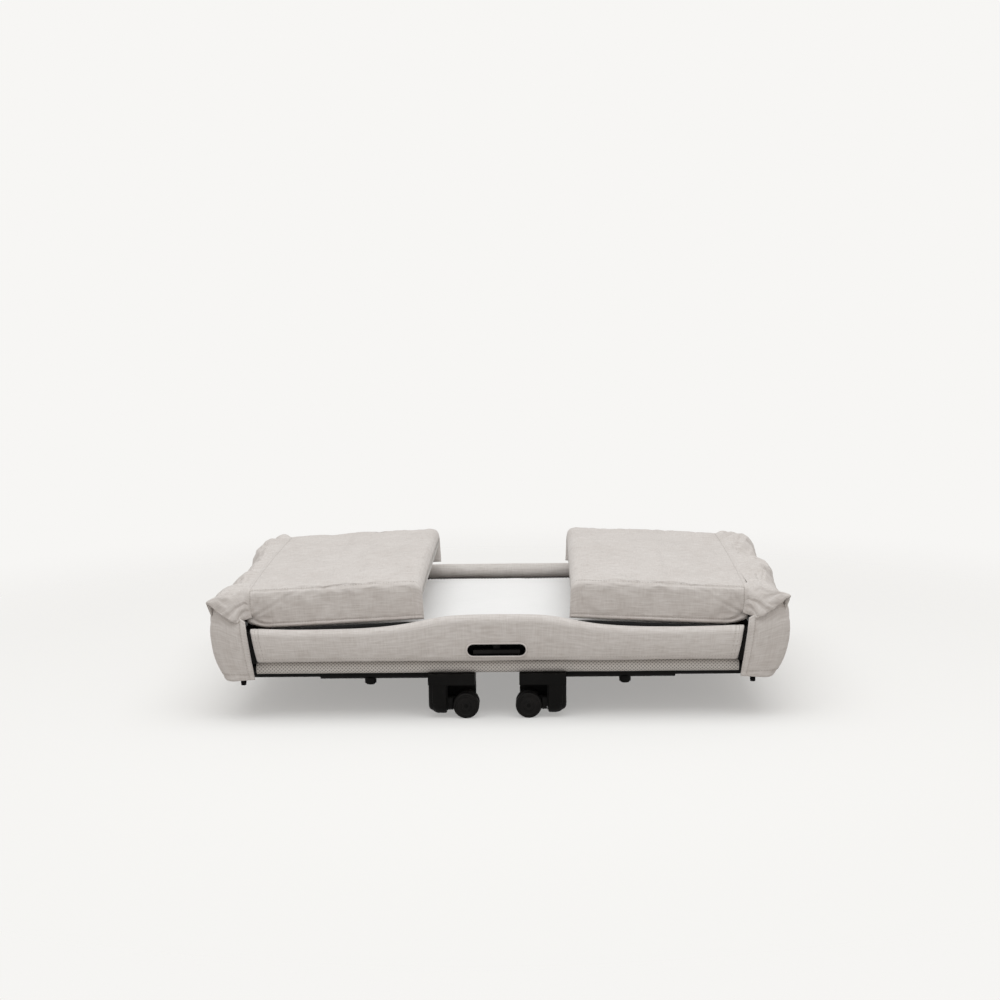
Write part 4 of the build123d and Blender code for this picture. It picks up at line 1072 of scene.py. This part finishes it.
def rail_slot_edge(x, z):
    """The nearest point of the slot's outline."""
    straight = SLOT_HALF - SLOT_RADIUS
    middle = min(max(x, -straight), straight)
    away = Vector((x - middle, z - SLOT_Z))
    away = away.normalized() * SLOT_RADIUS if away.length > 0.01 else Vector((0, SLOT_RADIUS))
    return middle + away.x, SLOT_Z + away.y


def make_rail():
    """The padded cover of the front rail, with its finger slot and seams."""
    across = divide(
        -RAIL_END, (-366, 1.6), (-360, 2.5), (-62, 5.5), (62, 2.2), (360, 5.5), (366, 2.5),
        (RAIL_END, 1.6),
    )
    along = divide(
        0, (1, 0.5), (2, 0.25), (3, 1 / 20), (4, 1 / 6), (6, 0.5), (7, 1 / 6), (8, 1 / 8),
        (9, 0.34), (10, 0.5),
    )
    bm = bmesh.new()
    lay_cloth(bm, across, along, rail_point)
    bmesh.ops.remove_doubles(bm, verts=bm.verts, dist=0.02 * MM)
    bmesh.ops.recalc_face_normals(bm, faces=bm.faces)
    layer = bm.loops.layers.uv.verify()
    for face in bm.faces:
        for loop in face.loops:
            loop[layer].uv.y = follow(RAIL_GIRTH, loop[layer].uv.y / MM) * MM
    # Finger slot, with the cloth turned in round it
    inside = []
    for face in bm.faces:
        centre = face.calc_center_median() / MM
        reach = hypot(max(abs(centre.x) - SLOT_HALF + SLOT_RADIUS, 0), centre.z - SLOT_Z)
        if centre.y < RAIL_Y - 5 and reach < SLOT_RADIUS:
            inside.append(face)
    bmesh.ops.delete(bm, geom=inside, context="FACES")
    rim = [edge for edge in bm.edges if edge.is_boundary and abs(edge.verts[0].co.x) < 60 * MM]
    for vert in {vert for edge in rim for vert in edge.verts}:
        x, z = rail_slot_edge(vert.co.x / MM, vert.co.z / MM)
        vert.co.x = x * MM
        vert.co.z = z * MM
    turned = bmesh.ops.extrude_edge_only(bm, edges=rim)["geom"]
    for vert in turned:
        if isinstance(vert, bmesh.types.BMVert):
            vert.co.y += 5 * MM
    ends = [edge for edge in bm.edges if edge.is_boundary and abs(edge.verts[0].co.x) > 300 * MM]
    bmesh.ops.holes_fill(bm, edges=ends, sides=0)
    bmesh.ops.recalc_face_normals(bm, faces=bm.faces)
    rail = make_piece("rail_cover", bm, grey_cover, ["front_rail_pad"])
    subdivide(rail)
    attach(rail, "front_rail")
    runs = []
    for x in (-369.5, -364.5, 364.5, 369.5):
        runs.append((rail_point, (x, 1.8), (x, 4.2)))
    for start, end in ((-364, -180), (-180, 0), (0, 180), (180, 364)):
        runs.append((rail_point, (start, 2.0), (end, 2.0)))
    stitching("rail_stitches", runs, "front_rail")


def make_slot_piping():
    """Piping sewn round the finger slot."""
    cord_radius = 1.5
    straight = SLOT_HALF - SLOT_RADIUS
    half_round = 2 * straight + pi * SLOT_RADIUS
    front = RAIL_Y - RAIL_HALF_THICKNESS - 2.0

    def place(at, turn):
        # The outline's second half is the first one turned half round
        lap = at % half_round
        way = 1 if at % (2 * half_round) < half_round else -1
        middle = max(straight - lap, -straight)
        heading = pi / 2 + max(lap - 2 * straight, 0.0) / SLOT_RADIUS
        angle = turn / cord_radius
        away = SLOT_RADIUS + cord_radius * cos(angle)
        x = way * (middle + away * cos(heading))
        z = SLOT_Z + way * away * sin(heading)
        return x, front - cord_radius * sin(angle), z

    girth = 2 * pi * cord_radius
    across = divide(0, (half_round, half_round / 36), (2 * half_round, half_round / 36))
    bm = bmesh.new()
    lay_cloth(bm, across, divide(0, (girth, girth / 10)), place)
    bmesh.ops.remove_doubles(bm, verts=bm.verts, dist=0.02 * MM)
    bmesh.ops.recalc_face_normals(bm, faces=bm.faces)
    piping = make_piece("slot_piping", bm, grey_cover)
    subdivide(piping)
    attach(piping, "front_rail")


def make_rail_shade_strip():
    """Painted shade: a black strip, drawn as elastic edging on the mesh behind the rail, that darkens the
    gap under the wings' hems.
    """
    def place(x, t):
        reach = max(HINGE_X - abs(x), 0.0)
        hem = HINGE_Z + hem_height(reach) + reach * sin(WALL_TILT) - 1.0
        high = min(hem, 148.0)
        return x, -261.3 + 0.2 * ripple(x / 40, t, 71), 108 + (high - 108) * t / 40

    bm = bmesh.new()
    lay_cloth(bm, divide(-366, (366, 6)), divide(0, (40, 5)), place)
    shade_piece = make_piece("rail_shade_strip", bm, shade_strip)
    thicken(shade_piece, 0.6, 0.0)
    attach(shade_piece, "front_rail")


# Rear rail


def make_rear_sleeve():
    """The padded sleeve round the rear rail."""
    half_length = 370.0
    sleeve_radius = 13.5

    def place(x, turn):
        angle = turn / sleeve_radius
        end = half_length - abs(x)
        radius = 13.3 + 0.45 * ripple(x / 40, angle * 0.9, 41)
        radius += 0.25 * ripple(x / 11, angle * 2, 43)
        radius -= 0.7 * hump(end, 9, 1.4)
        radius -= 1.8 * (1 - rounding(end, 4))
        bow = 1.5 * (1 - (x / half_length) ** 2) - 3.0
        return x, REAR_RAIL_Y + radius * sin(angle), REAR_RAIL_Z + bow - radius * cos(angle)

    girth = 2 * pi * sleeve_radius
    bm = bmesh.new()
    across = divide(-half_length, (-356, 1.6), (356, 6), (half_length, 1.6))
    lay_cloth(bm, across, divide(0, (girth, girth / 28)), place)
    bmesh.ops.remove_doubles(bm, verts=bm.verts, dist=0.02 * MM)
    bmesh.ops.holes_fill(bm, edges=[edge for edge in bm.edges if edge.is_boundary], sides=0)
    bmesh.ops.recalc_face_normals(bm, faces=bm.faces)
    sleeve = make_piece("rear_rail_cover", bm, grey_cover, ["rear_rail_sleeve"])
    subdivide(sleeve)
    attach(sleeve, "rear_rail")
    runs = [(place, (x, 2), (x, 60)) for x in (-361, 361)]
    stitching("rear_rail_stitches", runs, "rear_rail")


# Mesh sides


# Folds of the mesh behind each rail: how many, and how high they stand
NET_FOLDS = {"front": (7, 38.0), "rear": (15, 18.0)}


def make_mesh_side(end_name, end):
    """A hem round the base tube, a skirt behind it, and the net folded behind the rail."""
    hem_radius = 9.6
    girth = 2 * pi * hem_radius

    def hem(x, turn):
        angle = turn / hem_radius
        radius = 9.2 + 0.25 * ripple(x / 30, angle, 51) - 0.35 * hump(turn % girth, 22, 1.2)
        droop = 1.2 * max(0.0, cos(angle))
        y = BASE_TUBE_Y + radius * sin(angle)
        return x, end * y, BASE_TUBE_Z - radius * cos(angle) - droop

    bm = bmesh.new()
    lay_cloth(bm, divide(-370, (370, 8)), divide(0, (girth, girth / 24)), hem)
    bmesh.ops.remove_doubles(bm, verts=bm.verts, dist=0.02 * MM)
    bmesh.ops.recalc_face_normals(bm, faces=bm.faces)
    sleeve = make_piece(f"mesh_hem_{end_name}", bm, dotted_mesh)
    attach(sleeve, "base")

    def skirt(x, t):
        y = 261.5 - 11 * ease(t, 0, 20)
        return x, end * y, 86 + 10.5 * ease(t, 0, 16) + 0.4 * ripple(x / 40, t / 9, 53)

    bm = bmesh.new()
    lay_cloth(bm, divide(-366, (366, 12)), divide(0, (20, 2)), skirt)
    strip = make_piece(f"mesh_skirt_{end_name}", bm, dotted_mesh)
    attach(strip, "base")

    folds, height = NET_FOLDS[end_name]
    net_start = 250.6
    net_depth = 10.2

    def net(x, t):
        fold = min(int(t), folds - 1)
        share = ease(t - fold, 0.0, 1.0)
        rise = share if fold % 2 == 0 else 1 - share
        y = net_start + net_depth * t / folds + 0.25 * ripple(x / 50, t, 55)
        z = 97.5 + height * rise + 1.2 * ripple(x / 70, fold, 57) * ease(t, 0, 1)
        if end_name == "rear":
            joined = ease(t, folds - 0.6, folds)
            y += 4.5 * joined
            z += 4.0 * joined
        return x, end * y, z

    bm = bmesh.new()
    lay_cloth(bm, divide(-377.5, (377.5, 12)), divide(0, (folds, 0.125)), net)
    layer = bm.loops.layers.uv.verify()
    for face in bm.faces:
        for loop in face.loops:
            loop[layer].uv.y *= height
    side_net = make_piece(
        f"mesh_net_{end_name}", bm, open_mesh, [f"{end_name}_mesh"],
    )
    net_end = net_start + net_depth
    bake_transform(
        side_net, "base", f"{end_name}_rail",
        start=(0, end * net_start * MM, 0.1), end=(0, end * net_end * MM, 0.1),
    )


# Mattress


def make_mattress():
    """The white mattress, a crowned pad with rounded corners and a seam near its edge."""
    half_x = 362.0
    half_y = 240.0
    corner = 32.0

    def inset(x, y):
        """The point pulled in at the corners, and how far it is from the edge."""
        over_x = abs(x) - (half_x - corner)
        over_y = abs(y) - (half_y - corner)
        edge = min(half_x - abs(x), half_y - abs(y))
        if over_x > 0 and over_y > 0:
            shrink = max(over_x, over_y) / hypot(over_x, over_y)
            x = (half_x - corner + over_x * shrink) * (1 if x > 0 else -1)
            y = (half_y - corner + over_y * shrink) * (1 if y > 0 else -1)
        return x, y, edge

    def face(up):
        def place(x, y):
            x, y, edge = inset(x, y)
            half = 18.0 * (0.18 + 0.82 * rounding(edge, 15)) if edge > 0 else 0.0
            z = 113 + up * half
            if up > 0:
                z += 2.2 * ease(edge, 8, 160) + 0.8 * ripple(x / 80, y / 80, 61) * ease(edge, 4, 40)
                z += 0.9 * ripple(x / 16, y / 16, 63) * hump(edge, 14, 10)
                z -= 0.9 * hump(edge, 9, 1.6)
                z -= 8.0 * ease(abs(y), 130, 238)
            return x, y, z
        return place

    def spread(half):
        return divide(
            -half, (-half + 4, 1), (-half + 20, 2), (half - 20, 9), (half - 4, 2), (half, 1),
        )

    bm = padded_shell(spread(half_x), spread(half_y), face(1), face(-1))
    pad = make_piece("mattress_cover", bm, white_cover, ["mattress"])
    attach(pad, "base")


# Castor wheels


def make_wheels(side_name, side, end_name, end):
    """Twin wheels with a rounded tread, a ring groove, a recessed web and a hub cap."""
    # Radius, and depth behind the outer face, from the hub over the tread and back
    profile = (
        (3.1, 0.6), (5.6, 0.6), (6.2, 0.0), (7.2, 0.0), (7.8, 1.6), (13.6, 1.6), (14.4, 0.4),
        (15.6, 0.2), (16.0, 0.9), (16.6, 0.9), (17.0, 0.2), (18.6, 0.4), (19.6, 1.4), (20.0, 3.0),
        (20.0, 5.0), (19.6, 5.4), (19.6, 6.0), (20.0, 6.4), (20.0, 8.6), (19.4, 10.4), (18.0, 11.2),
        (8.0, 11.3), (3.1, 11.3),
    )
    axle_x = side * 48.0
    axle_z = 20.0
    half_width = 15.7
    bm = bmesh.new()
    for way in (-1, 1):
        face_y = end * BASE_TUBE_Y + way * half_width
        verts = []
        for radius, depth in profile:
            spot = Vector((axle_x, face_y - way * depth, axle_z + radius))
            verts.append(bm.verts.new(spot * MM))
        edges = [bm.edges.new(pair) for pair in zip(verts, verts[1:])]
        bmesh.ops.spin(
            bm, geom=verts + edges, cent=Vector((axle_x, 0, axle_z)) * MM, axis=(0, 1, 0),
            angle=2 * pi, steps=48, use_merge=True,
        )
    bmesh.ops.remove_doubles(bm, verts=bm.verts, dist=0.01 * MM)
    bmesh.ops.recalc_face_normals(bm, faces=bm.faces)
    bm.loops.layers.uv.verify()
    label = f"{side_name}_{end_name}"
    wheels = make_piece(
        f"wheels_{label}", bm, wheel_tread, [f"castor_wheels_{label}"],
    )
    modifier = wheels.modifiers.new("edges", "BEVEL")
    modifier.width = 0.25 * MM
    modifier.segments = 2
    modifier.limit_method = "ANGLE"
    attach(wheels, f"wheels_{label}")


def make_foot_shroud(side_name, side):
    """Moulded shrouds behind the castors and round the bosses that their stems turn in."""
    bm = bmesh.new()
    for end in ENDS.values():
        plate = bmesh.ops.create_cube(bm, size=1)["verts"]
        bmesh.ops.scale(bm, vec=Vector((64, 6.5, 50)) * MM, verts=plate)
        bmesh.ops.translate(bm, vec=Vector((side * 68, end * 235.5, 32)) * MM, verts=plate)
        stem = Matrix.Translation(Vector((side * 90.5, end * BASE_TUBE_Y, 23)) * MM)
        boss = bmesh.ops.create_cone(
            bm, cap_ends=True, segments=40, radius1=17 * MM, radius2=17 * MM, depth=25 * MM,
            matrix=stem @ Matrix.Rotation(pi / 2, 4, "Y"),
        )["verts"]
        rim = {edge for vert in boss for edge in vert.link_edges if edge.calc_face_angle(0) > 0.6}
        outer_rim = [edge for edge in rim if abs(edge.verts[0].co.x) > 95 * MM]
        bmesh.ops.bevel(
            bm, geom=outer_rim, offset=13.0 * MM, offset_type="OFFSET", affect="EDGES", segments=7,
            profile=0.5, material=-1,
        )
        web = bmesh.ops.create_cube(bm, size=1)["verts"]
        bmesh.ops.scale(bm, vec=Vector((22, 34, 46)) * MM, verts=web)
        bmesh.ops.translate(bm, vec=Vector((side * 89, end * BASE_TUBE_Y, 46)) * MM, verts=web)
    sharp = [edge for edge in bm.edges if edge.calc_face_angle(0) > 0.6]
    bmesh.ops.bevel(
        bm, geom=sharp, offset=2.5 * MM, offset_type="OFFSET", affect="EDGES", segments=4,
        profile=0.5, material=-1,
    )
    bmesh.ops.recalc_face_normals(bm, faces=bm.faces)
    bm.loops.layers.uv.verify()
    shroud = make_piece(f"foot_shroud_{side_name}", bm, black_moulding)
    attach(shroud, f"foot_{side_name}")


for wall_name, wall_side in SIDES.items():
    make_wing(wall_name, wall_side)
    make_lining(wall_name, wall_side)
    make_cover(wall_name, wall_side)
    make_cap(wall_name, wall_side)
    make_foot_shroud(wall_name, wall_side)
    for castor_end_name, castor_end in ENDS.items():
        make_wheels(wall_name, wall_side, castor_end_name, castor_end)
make_rail()
make_slot_piping()
make_rail_shade_strip()
make_rear_sleeve()
make_mesh_side("front", -1)
make_mesh_side("rear", 1)
make_mattress()

# Finishes of the nodes that stay as they are
FINISHES = (
    ("press_bar", bar_grip),
    ("castor_fork", black_moulding),
    ("foot_ends", black_moulding),
    ("leg_sleeves", black_moulding),
    ("leg_knuckles", black_moulding),
    ("height_button", bar_grip),
    ("corner_bracket", black_moulding),
    ("handle_bezel", black_moulding),
    ("rail_end_bracket", black_moulding),
    ("rear_end_plugs", black_moulding),
    ("wall_knuckles", black_moulding),
    ("corner_feet", foot_rubber),
    ("floor_board", board),
    ("wall_board", board),
    ("wall_hinge_pins", zinc),
    ("leg_hinge_pins", zinc),
    ("latch_rod", zinc),
)
for node_name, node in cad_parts.items():
    finishes = [material for start, material in FINISHES if node_name.startswith(start)]
    node.data.materials.clear()
    node.data.materials.append(finishes[0] if finishes else powder_coat)


# Stage


def make_floor():
    """A pale round table top under the crib."""
    bm = bmesh.new()
    bmesh.ops.create_circle(bm, cap_ends=True, segments=64, radius=2.4)
    mesh = bpy.data.meshes.new("floor")
    bm.to_mesh(mesh)
    bm.free()
    # A matt white table, clear enough to show what goes down through it. It fades into the
    # backdrop at its edge.
    material = new_material("pale_studio_floor")
    path = add_node(material, "ShaderNodeLightPath")
    seen = add_node(
        material, "ShaderNodeMath",
        {0: path.outputs["Is Camera Ray"], 1: path.outputs["Is Glossy Ray"]}, operation="MAXIMUM",
    )
    shown = add_node(
        material, "ShaderNodeMath",
        {0: seen.outputs[0], 1: path.outputs["Is Transmission Ray"]}, operation="MAXIMUM",
    )
    place = add_node(material, "ShaderNodeTexCoord")
    away = add_node(
        material, "ShaderNodeVectorMath", {0: place.outputs["Object"]}, operation="LENGTH",
    )
    fade = add_node(
        material, "ShaderNodeMapRange",
        {"Value": away.outputs["Value"], "From Min": 0.75, "From Max": 1.7},
        interpolation_type="SMOOTHSTEP",
    )
    matt = add_node(material, "ShaderNodeBsdfDiffuse", {"Color": linear("#f7f6f4")})
    clear = add_node(material, "ShaderNodeBsdfTransparent")
    table = add_node(
        material, "ShaderNodeMixShader", {0: 0.36, 1: matt.outputs[0], 2: clear.outputs[0]},
    )
    faded = add_node(
        material, "ShaderNodeMixShader", {0: fade.outputs[0], 1: table.outputs[0], 2: clear.outputs[0]},
    )
    # Light that bounces off the floor onto the object is held back a little
    dim = add_node(material, "ShaderNodeBsdfDiffuse", {"Color": linear("#cbc9c6")})
    shade = add_node(
        material, "ShaderNodeMixShader", {0: shown.outputs[0], 1: dim.outputs[0], 2: faded.outputs[0]},
    )
    add_node(material, "ShaderNodeOutputMaterial", {"Surface": shade.outputs[0]})
    mesh.materials.append(material)
    floor = bpy.data.objects.new("floor", mesh)
    scene.collection.objects.link(floor)


def make_world():
    """Even light from all round, and a pale backdrop."""
    world = bpy.data.worlds.new("studio")
    world.use_nodes = True
    world.node_tree.nodes.clear()
    path = add_node(world, "ShaderNodeLightPath")
    seen = add_node(
        world, "ShaderNodeMath",
        {0: path.outputs["Is Camera Ray"], 1: path.outputs["Is Glossy Ray"]}, operation="MAXIMUM",
    )
    through = add_node(
        world, "ShaderNodeMath",
        {0: seen.outputs[0], 1: path.outputs["Is Transmission Ray"]}, operation="MAXIMUM",
    )
    dim = add_node(world, "ShaderNodeBackground", {"Color": linear("#fffbf8"), "Strength": 0.6})
    pale = add_node(world, "ShaderNodeBackground", {"Color": linear("#f7f6f4"), "Strength": 1.0})
    mixed = add_node(
        world, "ShaderNodeMixShader", {0: through.outputs[0], 1: dim.outputs[0], 2: pale.outputs[0]},
    )
    add_node(world, "ShaderNodeOutputWorld", {"Surface": mixed.outputs[0]})
    scene.world = world


def make_lamp(name, place, aim, size, power):
    lamp = bpy.data.lights.new(name, "AREA")
    lamp.shape = "RECTANGLE"
    lamp.size = size[0]
    lamp.size_y = size[1]
    lamp.energy = power
    lamp.color = linear("#f6fcff")[:3]
    made = bpy.data.objects.new(name, lamp)
    made.location = place
    way = Vector(aim) - Vector(place)
    made.rotation_euler = way.to_track_quat("-Z", "Y").to_euler()
    scene.collection.objects.link(made)


def make_camera():
    """The camera at the photograph's place, a little above the crib."""
    lens = bpy.data.cameras.new("camera")
    lens.sensor_width = 36.0
    lens.lens = 68.4
    camera = bpy.data.objects.new("camera", lens)
    turn = Matrix.Rotation(radians(1.35), 4, "Z") @ Matrix.Rotation(radians(90 - 8.163), 4, "X")
    roll = Matrix.Rotation(radians(-0.78), 4, "Z")
    camera.matrix_world = Matrix.Translation((0.0751, -3.1219, 0.746)) @ turn @ roll
    scene.collection.objects.link(camera)
    scene.camera = camera


make_floor()
make_world()
make_lamp("overhead_softbox", (0.0, -0.5, 2.4), (0.0, 0.0, 0.1), (3.2, 2.6), 38.0)
make_camera()
